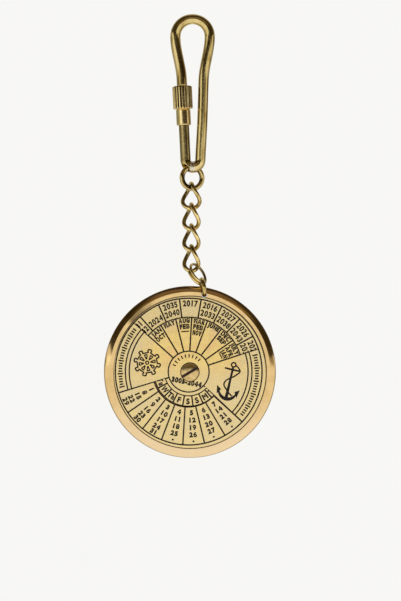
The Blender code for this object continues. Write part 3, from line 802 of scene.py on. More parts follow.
def letter_outlines(characters):
    """Each character's closed loops, with its height scaled to the capitals'."""
    objs = []
    for ch in characters:
        curve = bpy.data.curves.new("letter", "FONT")
        curve.body = ch
        obj = bpy.data.objects.new("letter", curve)
        scene.collection.objects.link(obj)
        objs.append((ch, obj))
    bpy.context.view_layer.update()
    graph = bpy.context.evaluated_depsgraph_get()
    found = {}
    for ch, obj in objs:
        loops = []
        for spline in obj.evaluated_get(graph).to_curve(graph).splines:
            pts = spline.bezier_points
            loop = []
            for i, p in enumerate(pts):
                q = pts[(i + 1) % len(pts)]
                p0, p1, p2, p3 = (Vector(c[:2]) for c in (p.co, p.handle_right, q.handle_left, q.co))
                chord = p3 - p0
                bend = 0.0
                if chord.length > 1e-6:
                    bend = max(abs(chord.cross(p1 - p0)), abs(chord.cross(p2 - p0))) / chord.length
                steps = 1 if bend < 0.004 else 5
                for k in range(steps):
                    t = k / steps
                    loop.append(tuple((1 - t) ** 3 * p0 + 3 * (1 - t) ** 2 * t * p1
                                      + 3 * (1 - t) * t * t * p2 + t ** 3 * p3))
            loop = [p for i, p in enumerate(loop)
                    if (Vector(p) - Vector(loop[i - 1])).length > 1e-4]
            loops.append(loop)
        found[ch] = loops
        obj.evaluated_get(graph).to_curve_clear()
    for ch, obj in objs:
        curve = obj.data
        bpy.data.objects.remove(obj, do_unlink=True)
        bpy.data.curves.remove(curve)
    tall = max(p[1] for loop in found["E"] for p in loop)
    for ch, loops in found.items():
        biggest = max(loops, key=lambda loop: abs(area(loop)))
        left = min(p[0] for loop in loops for p in loop)
        wide = max(p[0] for loop in loops for p in loop) - left
        found[ch] = [(np.array([((x - left) / tall, y / tall) for x, y in loop]), loop is not biggest)
                     for loop in loops], wide / tall
    return found


LETTERS = letter_outlines("0123456789-.AEBCDFGJLMNOPRSTUVYWhu")


def text(word, height, width, bold=0.078, space=0.13, most=0.74):
    """Loops of a word centred on the origin and fitted to width; figures stand
    at an even pace, each in the middle of its place."""
    out, x = [], 0.0
    raw = []
    for ch in word:
        loops, wide = LETTERS[ch]
        place = max(wide, 0.88 * LETTERS["0"][1]) if ch.isdigit() else wide
        raw.append((loops, wide * height, place * height))
    natural = sum(p for _, _, p in raw)
    inner = width - space * (len(word) - 1) - 2 * bold * len(word)
    squeeze = min(most, inner / natural)
    total = natural * squeeze + (space + 2 * bold) * (len(word) - 1) + 2 * bold
    for loops, w, place in raw:
        left = x + bold + (place - w) * squeeze / 2
        for loop, inside in loops:
            pts = loop * np.array([height * squeeze, height - 2 * bold]) + np.array([left, -height / 2 + bold])
            grow = -0.8 * bold if inside else bold
            while inside and area(offset(pts, grow)) / area(pts) < 0.22:
                grow *= 0.6
            out.append(offset(pts, grow))
        x += place * squeeze + space + 2 * bold
    return [loop - np.array([total / 2, 0.0]) for loop in out]


def bent_out(loops, r, a, centre=ENGRAVED):
    """Bends loops onto a circle, their tops away from the centre."""
    out = []
    for loop in loops:
        rr = r + loop[:, 1]
        angle = math.radians(a) + loop[:, 0] / r
        out.append(np.stack([centre[0] + rr * np.sin(angle), centre[1] + rr * np.cos(angle)], axis=1))
    return out


def bent_in(loops, r, a, centre=ENGRAVED):
    """Bends loops onto a circle, their tops towards the centre."""
    out = []
    for loop in loops:
        rr = r - loop[:, 1]
        angle = math.radians(a) - loop[:, 0] / r
        out.append(np.stack([centre[0] + rr * np.sin(angle), centre[1] + rr * np.cos(angle)], axis=1))
    return out


def bar(width, height):
    return np.array([(-width / 2, -height / 2), (width / 2, -height / 2), (width / 2, height / 2),
                     (-width / 2, height / 2)])


def filled(loops):
    """Points and triangles of the area inside an odd number of the loops; a
    lone loop is filled wherever it winds."""
    points, edges = [], []
    for loop in loops:
        start, n = len(points), len(loop)
        points += [Vector((float(x), float(y))) for x, y in loop]
        edges += [(start + i, start + (i + 1) % n) for i in range(n)]
    found, _, faces, *_ = delaunay_2d_cdt(points, edges, [], 0, 1e-5)
    p = np.array([tuple(v) for v in found])
    tris = np.array([tuple(f) for f in faces])
    mids = p[tris].mean(axis=1)
    x, y = mids[:, :1], mids[:, 1:]
    odd, wind = np.zeros(len(mids), int), np.zeros(len(mids), int)
    for loop in loops:
        a = np.asarray(loop, float)
        b = np.roll(a, -1, axis=0)
        rising, falling = (a[:, 1] <= y) & (b[:, 1] > y), (a[:, 1] > y) & (b[:, 1] <= y)
        run = np.where(b[:, 1] == a[:, 1], 1.0, b[:, 1] - a[:, 1])
        beyond = a[:, 0] + (y - a[:, 1]) / run * (b[:, 0] - a[:, 0]) > x
        odd += ((rising | falling) & beyond).sum(axis=1)
        wind += (rising & beyond).sum(axis=1) - (falling & beyond).sum(axis=1)
    keep = wind != 0 if len(loops) == 1 else odd % 2 == 1
    used, tris = np.unique(tris[keep], return_inverse=True)
    return p[used], tris.reshape(-1, 3)


def prisms(shapes, d0, d1):
    """Solids between depths d0 and d1; a loop inside another is a hole in it."""
    out = []
    for loops in shapes:
        p, tris = filled(loops)
        n = len(p)
        verts = np.vstack([np.column_stack([p, np.full(n, d1)]), np.column_stack([p, np.full(n, d0)])])
        faces = [tuple(t) for t in tris] + [(c + n, b + n, a + n) for a, b, c in tris]
        sides = {(int(t[i]), int(t[(i + 1) % 3])) for t in tris for i in range(3)}
        faces += [(b, a, a + n, b + n) for a, b in sorted(sides) if (b, a) not in sides]
        out.append((verts, faces))
    return out


# ---------------------------------------------------------------- back plate

YEAR_FIRST, YEAR_LAST = 2005, 2044


def year_cell(year):
    """Which of the 21 cells a year stands in: its weekday on 5 March counts."""
    y, m = year, 3
    day = (5 + (13 * (m + 1)) // 5 + y % 100 + (y % 100) // 4 + (y // 100) // 4 + 5 * (y // 100)) % 7
    return -((day + 6) % 7) % 7


def years_by_cell():
    """Two years to a cell round the ring, earlier ones in the outer row; a
    year that finds no place makes a third row in one of its cells."""
    fixed = {0: (2017, None), 1: (2016, 2033), 2: (2027, 2038), 3: (2026, 2043), 4: (2025, 2036),
             20: (2035, 2040), 19: (None, 2024), 18: (2031, 2042)}
    used = {y for pair in fixed.values() for y in pair if y}
    left = {k: [] for k in range(7)}
    for year in range(YEAR_FIRST, YEAR_LAST + 1):
        if year not in used:
            left[year_cell(year)].append(year)
    cells = dict(fixed)
    for k in range(21):
        if k not in cells:
            queue = left[k % 7]
            outer = queue.pop(0) if queue else None
            inner = queue.pop(0) if queue else None
            cells[k] = (outer, inner)
    for k in range(7, 14):
        cells[k] += tuple(left[k % 7])
    return cells


shapes = []
YEAR_TURN = 1.3             # the plate stands this far round from the dial's top
for k, pair in sorted(years_by_cell().items()):
    mid = k * CELL + YEAR_TURN
    loops = [cell(15.35, 21.05, mid - CELL / 2, mid + CELL / 2)]
    tall, rows_at = (1.8, (19.8, 17.5)) if len(pair) == 2 else (1.42, (20.05, 18.2, 16.35))
    for year, row in zip(pair, rows_at):
        if year:
            loops += bent_out(text(str(year), tall, 4.35, bold=0.105, space=0.11), row, mid)
    shapes.append(loops)
for j in range(21):
    mid = 250.0 - CELL * j
    loops = [cell(6.9, 9.92, mid - CELL / 2, mid + CELL / 2)]
    word = ("Tu", "W", "Th", "F", "S", "S", "M")[j % 7]
    loops += bent_in(text(word, 1.75, 2.0, bold=0.12, space=0.08, most=0.82), 8.68, mid)
    shapes.append(loops)
islands = prisms(shapes, HALF - CUT - 0.02, HALF)

rows = [(POST_R + 0.06, HALF), (6.6, HALF), (6.6, HALF - CUT), (10.14, HALF - CUT), (10.14, HALF),
        (15.05, HALF), (15.05, HALF - CUT), (21.85, HALF - CUT), (21.85, HALF), (PLATE_FLAT_R - 0.04, HALF),
        (PLATE_FLAT_R, HALF)]
for i in [0.4, *range(1, 25)]:
    s = i / 24
    rows.append((PLATE_FLAT_R + (PLATE_R - PLATE_FLAT_R) * s,
                 HALF - 0.45 * s - 0.47 * (1 - math.sqrt(max(0.0, 1 - s * s)))))
rows += [(PLATE_R, -0.30), (PLATE_R - 0.04, -0.38), (PLATE_R - 0.12, -0.48), (PLATE_R - 0.34, -HALF + LAND_H),
         (LAND_R + 0.15, -HALF + LAND_H), (LAND_R + 0.05, -HALF + 0.10), (LAND_R - 0.05, -HALF + 0.02), (LAND_R - 0.15, -HALF),
         (2.68, -HALF), (2.68, -HALF + 0.66), (POST_R + 0.06, -HALF + 0.66)]
body_sides = 256
verts, faces = lathe(rows, body_sides)
bands = []
for i in range(len(rows)):
    inside = i in (1, 2, 3, 5, 6, 7)
    bands += [1 if inside else 0] * body_sides
plate = solid("back_plate_disc", world(verts), faces, [PLATE, BLACK], None, None, bands=bands)
difference(plate, cutter_from(*sweep([(hole[0], hole[1] - 4, hole[2]), (hole[0], hole[1] + 4, hole[2])],
                                     RIM_HOLE_R, 64, normal=(1.0, 0.0, 0.0), round_ends=False)))
shade(plate, 30.0)
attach(plate, "disc")
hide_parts("back_plate")
verts, faces, _ = joined(islands)
numbers = solid("year_and_day_cells", world(verts), faces, [DIAL], "disc", "plate_brass", angle=20.0)

# ---------------------------------------------------------------------- dial

window_shift = (ENGRAVED[0] - 0.2, ENGRAVED[1])


def day_window(grow=0.0):
    """The day window's outline, its outer edge a little off the centre."""
    a0, a1 = DAYS[2], DAYS[3]
    back = math.degrees(grow / 8.5)
    return (arc(DAYS[1] + grow, a0 - back, a1 + back, window_shift)
            + arc(DAYS[0] - grow, a1 + back, a0 - back))


def years_window():
    return arc(YEARS[1], YEARS[2], YEARS[3]) + arc(YEARS[0], YEARS[3], YEARS[2])


body = prisms([[circle(DIAL_R - 0.13, (0.0, 0.0)), years_window(), day_window(), circle(1.58, (0.0, 0.0), 96)]],
              DIAL_BACK, DIAL_FRONT - CUT)[0]
edge = lathe([(21.475, DIAL_FRONT - CUT - 0.02, *ENGRAVED), (21.475, DIAL_FRONT, *ENGRAVED),
              (DIAL_R - 0.12, DIAL_FRONT), (DIAL_R - 0.035, DIAL_FRONT - 0.035), (DIAL_R, DIAL_FRONT - 0.12),
              (DIAL_R, DIAL_BACK), (DIAL_R - 0.2, DIAL_BACK), (DIAL_R - 0.2, DIAL_FRONT - CUT - 0.02)], 256)

MONTHS = (("JAN", "OCT", None), ("MAY", None, None), ("AUG", "FEB", "line"), ("MAR", "FEB", "NOV"),
          ("JUNE", None, None), ("DEC", "SEP", None), ("JULY", "APR", "JAN"))
shapes = []
for k, words in enumerate(MONTHS):
    a0 = YEARS[2] + CELL * k
    mid = a0 + CELL / 2
    loops = [cell(6.12, 15.52, a0, a0 + CELL)]
    rows_at = (14.7, 12.85, 11.3) if words[1:] == ("OCT", None) else (14.85, 13.15, 11.45)
    for word, row in zip(words, rows_at):
        if word == "line":
            loops.append(bent_out([bar(2.3, 0.36)], 11.75, mid + 0.5)[0])
        elif word:
            size = 1.5 if len(word) == 3 else 1.45
            room = 2 * (row - size / 2) * math.sin(math.radians(CELL / 2)) - 0.60
            loops += bent_out(text(word, size, min(3.3 if len(word) == 3 else 3.9, room), bold=0.135, space=0.07),
                              row, mid + 0.3)
    if words[2] == "JAN":
        loops.append(bent_out([bar(2.0, 0.34)], 10.40, mid)[0])
    shapes.append(loops)

DATES = ((1, 8, 15, 22, 29), (2, 9, 16, 23, 30), (3, 10, 17, 24, 31), (4, 11, 18, 25), (5, 12, 19, 26),
         (6, 13, 20, 27), (7, 14, 21, 28))
for k, numbers_down in enumerate(DATES):
    a1 = DAYS[3] - CELL * k
    mid = a1 - CELL / 2
    inner = []
    for point in arc(DAYS[1] + 0.16, a1 - 1.15, a1 - CELL + 1.15, window_shift):
        inner.append(point)
    loops = [arc(21.05, a1 - CELL + gap(21.05), a1 - gap(21.05)) + inner]
    for number, row in zip(numbers_down, (11.95, 14.1, 16.25, 18.35, 20.12)):
        loops += bent_in(text(str(number), 1.52, 2.5, bold=0.135, space=0.12, most=0.82), row, mid)
    if len(numbers_down) == 4:
        loops.append(bent_in([np.array([(0.30 * math.cos(TAU * i / 20), 0.30 * math.sin(TAU * i / 20))
                                        for i in range(20)])], 20.25, mid)[0])
    shapes.append(loops)

# Hub: a plain span of years, and short marks round its upper half
shift = math.radians(-11.8)
loops = [circle(5.72), circle(1.75, (0.0, 0.0), 96)]
for loop in text("2005-2044", 1.6, 8.9, bold=0.175, space=0.05, most=0.8):
    c, s = math.cos(shift), math.sin(shift)
    loops.append(np.stack([ENGRAVED[0] - 0.61 + loop[:, 0] * c - loop[:, 1] * s,
                           ENGRAVED[1] - 3.00 + loop[:, 0] * s + loop[:, 1] * c], axis=1))
for i in range(9):
    loops.append(bent_out([bar(0.36, 1.0)], 4.55, -11.8 + 13.5 * (i - 4))[0])
shapes.append(loops)


def scale_marks(r, a0, a1, every, height, width):
    """Short radial marks, a long one at every fifth."""
    n = int((a1 - a0 - 8.0) / every)
    start = (a0 + a1) / 2 - every * n / 2
    return [bent_out([bar(width, height if i % 5 == 0 else height * 0.70)], r, start + every * i)[0]
            for i in range(n + 1)]


LEFT = (DAYS[3] - 360.0, YEARS[2])
RIGHT = (YEARS[3], DAYS[2])
for a0, a1 in (LEFT, RIGHT):
    shapes.append([cell(17.42, 18.14, a0, a1)])
    shapes.append([cell(18.54, 21.05, a0, a1)] + scale_marks(19.8, a0, a1, 2.2, 1.6, 0.44))

# The traditional figures: a ship's wheel on the left, a fouled anchor on the right
WHEEL = (ENGRAVED[0] - 12.03, ENGRAVED[1] + 2.58)


def turned_loop(points, centre, degrees):
    """Points turned clockwise about the origin and moved to centre."""
    a = math.radians(degrees)
    c, s = math.cos(a), math.sin(a)
    return np.array([(centre[0] + x * c + y * s, centre[1] - x * s + y * c) for x, y in points])


def wheel_loops():
    grip = [(-0.40, 3.06), (-0.40, 3.25), (-0.53, 3.45), (-0.56, 3.70), (-0.40, 3.93), (0.0, 4.02),
            (0.40, 3.93), (0.56, 3.70), (0.53, 3.45), (0.40, 3.25), (0.40, 3.06)]
    outline = []
    for k in range(8):
        outline += [tuple(p) for p in turned_loop(grip, (0.0, 0.0), 12.5 + 45 * k)]
    outline = [(0.96 * x + WHEEL[0], 0.96 * y + WHEEL[1]) for x, y in outline]
    loops = [offset(outline, 0.21), offset(outline, -0.21)]
    for k in range(8):
        wedge = [(-0.20, 0.94), (0.20, 0.94), (0.58, 2.22), (0.42, 2.46), (0.0, 2.53), (-0.42, 2.46), (-0.58, 2.22)]
        core = [(-0.04, 1.66), (0.04, 1.66), (0.20, 2.12), (-0.20, 2.12)]
        for shape in (wedge, core):
            loops.append(turned_loop(shape, WHEEL, -10 + 45 * k))
    loops += [circle(0.64, WHEEL, 40), circle(0.25, WHEEL, 28)]
    return loops


left_panel = [cell(6.12, 17.02, *LEFT)] + wheel_loops()
shapes.append(left_panel)
# The right panel runs on under the day window, with a short mark at its corner
a0, a1 = RIGHT
g = math.degrees(0.19 / 6.3)
right_panel = (arc(17.02, a0 + gap(17.02), a1 - gap(17.02)) + [on_arc(10.25, a1 - 1.2)]
               + arc(6.86, a1 - 1.5, DAYS[3] - gap(6.86)) + arc(6.12, DAYS[3] - gap(6.12), a1 + g)
               + [on_arc(6.5, a1 + g), on_arc(6.5, a1 - g)] + arc(6.12, a1 - g, a0 + gap(6.12)))

tops = prisms(shapes, DIAL_FRONT - CUT - 0.02, DIAL_FRONT)
verts, faces, owner = joined([body, edge] + tops)
bands = np.zeros(len(faces), np.int32)
for i, face in enumerate(faces):
    if owner[i] == 0:
        zs = verts[list(face), 2]
        if zs.min() > DIAL_FRONT - CUT - 1e-4:
            bands[i] = 1
dial = solid("dial_disc", world(verts), faces, [DIAL, BLACK], "dial", "dial_brass", "dial", bands=bands, angle=20.0)

ANCHOR = (ENGRAVED[0] + 10.73, ENGRAVED[1] - 8.03)
ANCHOR_TURN = 13.2


def stroke(points, width):
    """Outline of a stroke; width is one number or one for each point."""
    p = np.asarray(points, float)
    w = np.full(len(p), width) if np.isscalar(width) else np.asarray(width, float)
    t = np.gradient(p, axis=0)
    t /= np.linalg.norm(t, axis=1)[:, None]
    n = np.stack([-t[:, 1], t[:, 0]], axis=1)
    return np.vstack([p + n * w[:, None] / 2, (p - n * w[:, None] / 2)[::-1]])


def eased(points, per=8):
    """A smooth curve through points."""
    p = [np.array(q, float) for q in points]
    p = [2 * p[0] - p[1]] + p + [2 * p[-1] - p[-2]]
    out = []
    for i in range(1, len(p) - 2):
        for k in range(per):
            t = k / per
            out.append(0.5 * (2 * p[i] + (p[i + 1] - p[i - 1]) * t
                              + (2 * p[i - 1] - 5 * p[i] + 4 * p[i + 1] - p[i + 2]) * t * t
                              + (3 * p[i] - p[i - 1] - 3 * p[i + 1] + p[i + 2]) * t ** 3))
    out.append(p[-2])
    return out


def anchor_shapes():
    arms = [(2.615 * math.sin(a), 2.765 - 2.615 * math.cos(a)) for a in np.linspace(-1.25, 1.25, 25)]
    thick = [0.42 + 0.60 * math.cos(a * 1.15) for a in np.linspace(-1.25, 1.25, 25)]
    shapes = [[stroke([(0.0, 9.6), (0.0, 5.0), (0.0, 0.2)], [0.62, 0.68, 0.95])],
              [circle(0.86, (-0.02, 10.27), 36), circle(0.42, (-0.02, 10.27), 28)],
              [stroke([(-2.35, 8.86), (0.0, 8.80), (2.35, 8.84)], [0.46, 0.60, 0.46])],
              [stroke(arms, thick)]]
    for side in (-1, 1):
        shapes.append([[(side * 3.40, 3.50), (side * 1.95, 2.60), (side * 2.95, 1.02)]])
    rope = eased([(0.62, 10.3), (1.45, 9.75), (2.10, 9.1), (2.18, 8.5), (1.70, 7.92), (0.94, 7.08), (0.06, 6.37),
                  (-0.83, 5.71), (-1.40, 4.91), (-1.50, 4.21), (-1.18, 3.53), (-0.56, 2.92), (0.53, 1.93), (1.54, 1.31)])
    shapes.append([stroke(rope, 0.43)])
    return [[turned_loop(loop, ANCHOR, ANCHOR_TURN) for loop in loops] for loops in shapes]


panel = prisms([[right_panel]], DIAL_FRONT - CUT - 0.02, DIAL_FRONT)[0]
panel = solid("dial_right_panel", world(panel[0]), panel[1], [DIAL], None, None, angle=20.0)
for cut_shape in prisms(anchor_shapes(), DIAL_FRONT - CUT - 0.5, DIAL_FRONT + 0.5):
    difference(panel, cutter_from(world(cut_shape[0]), cut_shape[1]), whole=False)
shade(panel, 20.0)
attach(panel, "dial")

# ---------------------------------------------------- post, washers and screw

post_rows = [(POST_BORE_R, 2.16), (POST_R - 0.06, 2.16), (POST_R, 2.10), (POST_R, -HALF + 0.60), (2.54, -HALF + 0.60),
             (2.60, -HALF + 0.54), (2.60, -HALF + 0.16), (2.54, -HALF + 0.10), (0.96, -HALF + 0.10), (0.90, -HALF + 0.16),
             (0.90, -HALF + 0.45), (POST_BORE_R, -HALF + 0.55)]
v, f = lathe(post_rows, 96)
solid("pivot_post_turned", world(v), f, [SCREW], "disc", "screw_brass", "pivot_post")
v, f = lathe([(POST_R + 0.08, 1.0), (3.55, 1.0), (3.6, 0.96), (3.6, 0.90), (3.55, 0.86), (POST_R + 0.08, 0.86)], 96)
solid("dial_spacer_turned", world(v), f, [SCREW], "disc", "screw_brass", "dial_spacer")
v, f = lathe([(POST_R + 0.08, 2.27), (2.50, 2.27), (2.55, 2.24), (2.55, 2.14), (2.50, 2.11), (POST_R + 0.08, 2.11)], 96)
solid("spring_washer_turned", world(v), f, [SPRING], "disc", "spring_steel", "spring_washer")

head = [(0.0, HEAD_Z + HEAD_H)]
for i in range(1, 33):
    a = PI / 2 * i / 32
    r = HEAD_R * math.sin(a) ** 0.8
    z = HEAD_Z + 0.3 + (HEAD_H - 0.3) * math.cos(a)
    head.append((r, z - 0.05 * math.exp(-((r - 2.42) / 0.07) ** 2)))
head += [(HEAD_R, HEAD_Z + 0.08), (HEAD_R - 0.1, HEAD_Z), (0.92, HEAD_Z)]
for i in range(24):
    head.append((0.92 - (0.10 if i % 2 else 0.0), HEAD_Z - 0.06 - 0.07 * i))
head += [(0.84, HEAD_Z - 1.85), (0.70, HEAD_Z - 2.0), (0.0, HEAD_Z - 2.0)]
v, f = lathe(head, 128, closed=False)
screw = solid("centre_screw_slotted", world(v), f, [SCREW, TARNISH], None, None, angle=38.0)
c, s = math.cos(SLOT_TURN), math.sin(SLOT_TURN)
box = []
for x in (-4.0, 4.0):
    for y in (-SLOT_W / 2, SLOT_W / 2):
        for z in (HEAD_Z + HEAD_H - SLOT_D, HEAD_Z + HEAD_H + 1.5):
            box.append((x * c - y * s, x * s + y * c, z))
difference(screw, cutter_from(world(box), [(0, 1, 3, 2), (4, 6, 7, 5), (0, 4, 5, 1), (2, 3, 7, 6), (0, 2, 6, 4), (1, 5, 7, 3)]))
for face in screw.data.polygons:
    x, y, z = face.center / MM
    u, v, d = x - AXIS[0], z - AXIS[2], AXIS[1] - y
    if abs(v * c - u * s) < SLOT_W / 2 + 0.004 and d > HEAD_Z + HEAD_H - SLOT_D - 0.004:
        face.material_index = 1
shade(screw, 38.0)
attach(screw, "disc")
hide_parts("centre_screw")

# ----------- patina and painted shade where wires meet, darker insides of the rings, patina in the knurl


def smooth(value, low, high):
    t = np.clip((value - low) / (high - low), 0.0, 1.0)
    return t * t * (3 - 2 * t)


def put_layer(obj, name, values):
    obj.data.attributes.new(name, "FLOAT", "POINT").data.foreach_set("value", np.asarray(values, float).tolist())


wires = [shackle, sleeve, jump, *links, connecting, bail_ring]
middles = {jump.name: Vector(EYE) - Vector((0, 0, JUMP_R)), connecting.name: Vector(LAP_AT), bail_ring.name: bail_at}
for k, obj in enumerate(links):
    middles[obj.name] = Vector((LINK_X[k], 0.0, first_top - LINK_H - k * link_step))
cloud = {obj.name: np.array([v.co for v in obj.data.vertices]) for obj in wires}
for obj in wires:
    others = np.vstack([pts for name, pts in cloud.items() if name != obj.name])
    tree = KDTree(len(others))
    for i, p in enumerate(others):
        tree.insert(p, i)
    tree.balance()
    at = cloud[obj.name] / MM
    # darker near other wires: patina where parts touch, with painted shade between them
    values = np.array([math.exp(-max(tree.find(p)[2] / MM - 0.06, 0.0) / 0.30) for p in cloud[obj.name]])
    if obj.name in middles:
        inward = np.array(middles[obj.name]) - at
        inward /= np.linalg.norm(inward, axis=1)[:, None]
        facing = np.sum(np.array([v.normal for v in obj.data.vertices]) * inward, axis=1)
        low, high = (-0.10, 0.50) if obj is jump else (0.05, 0.65)
        ahead = -np.array([v.normal.y for v in obj.data.vertices])
        if obj is jump:
            # painted shade: the jump ring's inner side is darker towards its left and bottom
            low_left = (0.75 * inward[:, 0] + 0.66 * inward[:, 2]) * smooth(facing, -0.90, -0.35)
            values = np.maximum(values, 1.25 * smooth(low_left, 0.0, 0.60))
        else:
            values *= 1 - 0.65 * smooth(ahead, 0.25, 0.80)     # kept lighter on the side facing ahead: painted light
        # darker on the sides facing each ring's middle
        values = np.maximum(values, 0.85 * smooth(facing, low, high))
    if obj is sleeve:
        turned = (at - np.array((left_leg_x(SLEEVE_FOOT_Z), 0.0, SLEEVE_FOOT_Z))) @ np.array(
            Matrix.Rotation(-LEFT_LEAN, 3, "Y"))
        depth = KNURL_R - np.hypot(turned[:, 0], turned[:, 1])
        ends = smooth(turned[:, 2], COLLAR_L - 0.1, COLLAR_L + 0.3) * smooth(-turned[:, 2], -COLLAR_L - KNURL_L, -COLLAR_L - KNURL_L + 0.4)
        values = np.maximum(values, 0.9 * ends * smooth(depth, 0.05, 0.22))
    if obj is shackle:
        # painted shadow: dark on the front of the foot beside the eye, where the jump ring goes in
        beside = smooth(at[:, 0], -2.6, -1.9) * smooth(-at[:, 0], 0.5, 0.9)
        below = smooth(-at[:, 2], 40.8, 41.4) * smooth(at[:, 2], -43.1, -42.7)
        values = np.maximum(values, 0.75 * beside * below * smooth(-at[:, 1], 0.2, 0.6))
        # the left leg below the sleeve is darkened
        lower_leg = smooth(-at[:, 0], 0.3, 0.7) * smooth(-at[:, 2], 28.5, 30.5) * smooth(at[:, 2], -41.2, -39.4)
        values = np.maximum(values, 0.66 * lower_leg)
        # painted highlight: a pale patch on the front of the foot's middle
        highlight_patch = smooth(-np.abs(at[:, 0] + 0.08), -0.90, -0.55) * smooth(-at[:, 1], -0.25, 0.25)
        put_layer(obj, "painted_highlight", highlight_patch * smooth(at[:, 2], -43.1, -42.7) * smooth(-at[:, 2], 39.3, 39.9))
    put_layer(obj, "patina_and_shade", values)

# painted shade: a dark ring round the edge of the screw's head
at = np.array([v.co for v in screw.data.vertices]) / MM
u, v, d = at[:, 0] - AXIS[0], at[:, 2] - AXIS[2], AXIS[1] - at[:, 1]
around = smooth(np.hypot(u, v), 2.42, 2.62)
put_layer(screw, "patina_and_shade", np.where(d > HEAD_Z + 0.02, around, 0.0))

# ------------------------------------------------------ stage, light, camera


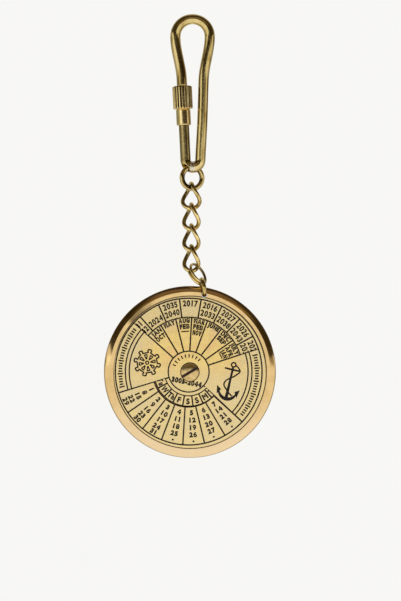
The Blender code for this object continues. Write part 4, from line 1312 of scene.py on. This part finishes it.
def sky():
    """Soft room light by direction: a pale floor and front, dim above it."""
    room = bpy.data.worlds.new("room")
    scene.world = room
    room.use_nodes = True
    tree = room.node_tree
    shader = tree.nodes["Background"]
    parts = add(tree, "ShaderNodeSeparateXYZ", {
        "Vector": add(tree, "ShaderNodeTexCoord").outputs["Generated"]})
    x, y, z = parts.outputs
    turn = math_node(tree, "ARCTAN2", x, math_node(tree, "MULTIPLY", y, -1.0))
    turn = math_node(tree, "ADD", math_node(tree, "DIVIDE", turn, TAU), 0.5)
    height = math_node(tree, "MULTIPLY", math_node(tree, "ARCSINE", z), 180.0 / PI)

    def place(azimuth):
        return azimuth / 360.0 + 0.5

    rise = ramp(tree, turn, [(place(a), (e + 20.0) / 60.0) for a, e in (
        (-180, 30), (-140, 26), (-110, 20), (-80, 16.7), (-59, 14.7), (-45, 10), (-38, 7), (-32, 4.9), (-26, 3.9),
        (0, 3.3), (27, 4.0), (45, 5.2), (60, 7.8), (80, 8.9), (100, 14), (140, 22), (180, 30))])
    rise = math_node(tree, "SUBTRACT", math_node(tree, "MULTIPLY", rise, 60.0), 20.0)
    above = spread(tree, math_node(tree, "SUBTRACT", height, rise), -0.7, 0.7)
    base = ramp(tree, turn, [(place(a), c) for a, c in (
        (-180, (0.90, 0.89, 0.86)), (-120, (0.42, 0.40, 0.36)), (-85, (0.55, 0.53, 0.48)), (-60, (1.08, 1.06, 1.02)),
        (0, (1.08, 1.07, 1.05)), (60, (1.12, 1.10, 1.06)), (85, (0.60, 0.58, 0.54)), (120, (0.40, 0.38, 0.35)),
        (180, (0.90, 0.89, 0.86)))])
    haze = ramp(tree, turn, [(place(a), c) for a, c in (
        (-180, (0.70, 0.69, 0.64)), (-140, (0.30, 0.31, 0.22)), (-72, (0.34, 0.34, 0.22)), (-62, (0.60, 0.60, 0.46)),
        (-55, (1.28, 1.29, 1.22)), (0, (1.32, 1.33, 1.30)), (26, (1.20, 1.19, 1.12)), (34, (0.42, 0.37, 0.26)),
        (60, (0.42, 0.37, 0.26)), (68, (1.15, 1.10, 0.98)), (80, (1.15, 1.10, 0.98)), (90, (0.15, 0.10, 0.05)),
        (120, (0.13, 0.09, 0.05)), (150, (0.40, 0.38, 0.32)), (180, (0.70, 0.69, 0.64)))])
    low = mix(tree, spread(tree, height, 0.5, 2.5), base, haze)
    low = mix(tree, spread(tree, height, 6.5, 8.0), low, base)
    high = ramp(tree, turn, [(place(a), c) for a, c in (
        (-180, (0.80, 0.79, 0.76)), (-150, (0.62, 0.60, 0.56)), (-120, (0.28, 0.25, 0.21)), (-95, (0.10, 0.08, 0.05)),
        (-60, (0.050, 0.036, 0.016)), (60, (0.050, 0.036, 0.016)), (95, (0.10, 0.08, 0.05)),
        (120, (0.26, 0.23, 0.19)), (150, (0.60, 0.58, 0.54)), (180, (0.80, 0.79, 0.76)))])
    front = ramp(tree, turn, [(place(-40), 0.0), (place(-20), 1.0), (place(20), 1.0), (place(40), 0.0)])
    bands = ramp(tree, math_node(tree, "DIVIDE", height, 90.0, clamp=True), [
        (0.0, (0.050, 0.038, 0.022)), (0.235, (0.050, 0.038, 0.022)), (0.26, (0.44, 0.31, 0.115)),
        (0.31, (0.38, 0.26, 0.100)), (0.345, (0.22, 0.145, 0.060)), (0.39, (0.19, 0.125, 0.056)),
        (0.43, (0.25, 0.18, 0.13)), (0.50, (0.22, 0.16, 0.12)), (0.57, (0.050, 0.034, 0.020)),
        (1.0, (0.050, 0.034, 0.020))])
    high = mix(tree, front, high, bands)
    light = mix(tree, above, low, high)
    tree.links.new(light, shader.inputs["Color"])
    shader.inputs["Strength"].default_value = 1.0


sky()


def backdrop():
    """Pale floor that curves up into a pale wall, all round the object."""
    mat, tree, shader = material("pale_backdrop")
    grain = noise(tree, in_mm(tree, (0.001, 0.001, 0.001)), 6.0, 2.0)
    tone = mix(tree, grain, (0.92, 0.915, 0.895), (0.945, 0.94, 0.92))
    glow = add(tree, "ShaderNodeEmission", {"Color": tone, "Strength": 1.0})
    tree.links.new(glow.outputs[0], tree.nodes["Material Output"].inputs["Surface"])
    rows = []
    for i in range(13):
        a = PI / 2 * i / 12
        rows.append((900.0 + 500.0 * math.sin(a), -300.0 + 500.0 * (1 - math.cos(a))))
    rows = [(0.0, -300.0), (450.0, -300.0)] + rows + [(1400.0, 1400.0), (0.0, 1400.0)]
    verts, faces = [], []
    sides = 72
    for r, z in rows:
        for k in range(sides):
            a = TAU * k / sides
            verts.append((r * math.cos(a) * MM, r * math.sin(a) * MM, z * MM))
    for i in range(len(rows) - 1):
        for k in range(sides):
            m = (k + 1) % sides
            faces.append((i * sides + k, i * sides + m, (i + 1) * sides + m, (i + 1) * sides + k))
    mesh = bpy.data.meshes.new("pale_backdrop")
    mesh.from_pydata(verts, [], faces)
    mesh.materials.append(mat)
    mesh.validate()
    obj = bpy.data.objects.new("pale_backdrop", mesh)
    scene.collection.objects.link(obj)
    obj.data.shade_smooth()
    obj.visible_glossy = False
    obj.visible_diffuse = False
    obj.visible_shadow = False


backdrop()

camera = bpy.data.cameras.new("camera")
camera.sensor_width = 36.0
camera.lens = 36.0 * 600.0 / 174.7
camera.clip_start, camera.clip_end = 0.01, 20.0
eye = bpy.data.objects.new("camera", camera)
eye.location = (2.209 * MM, -600.0 * MM, -80.29 * MM)
eye.rotation_euler = (PI / 2, 0.0, 0.0)
scene.collection.objects.link(eye)
scene.camera = eye

scene.view_settings.view_transform = "Standard"
scene.view_settings.look = "None"

bpy.context.view_layer.update()
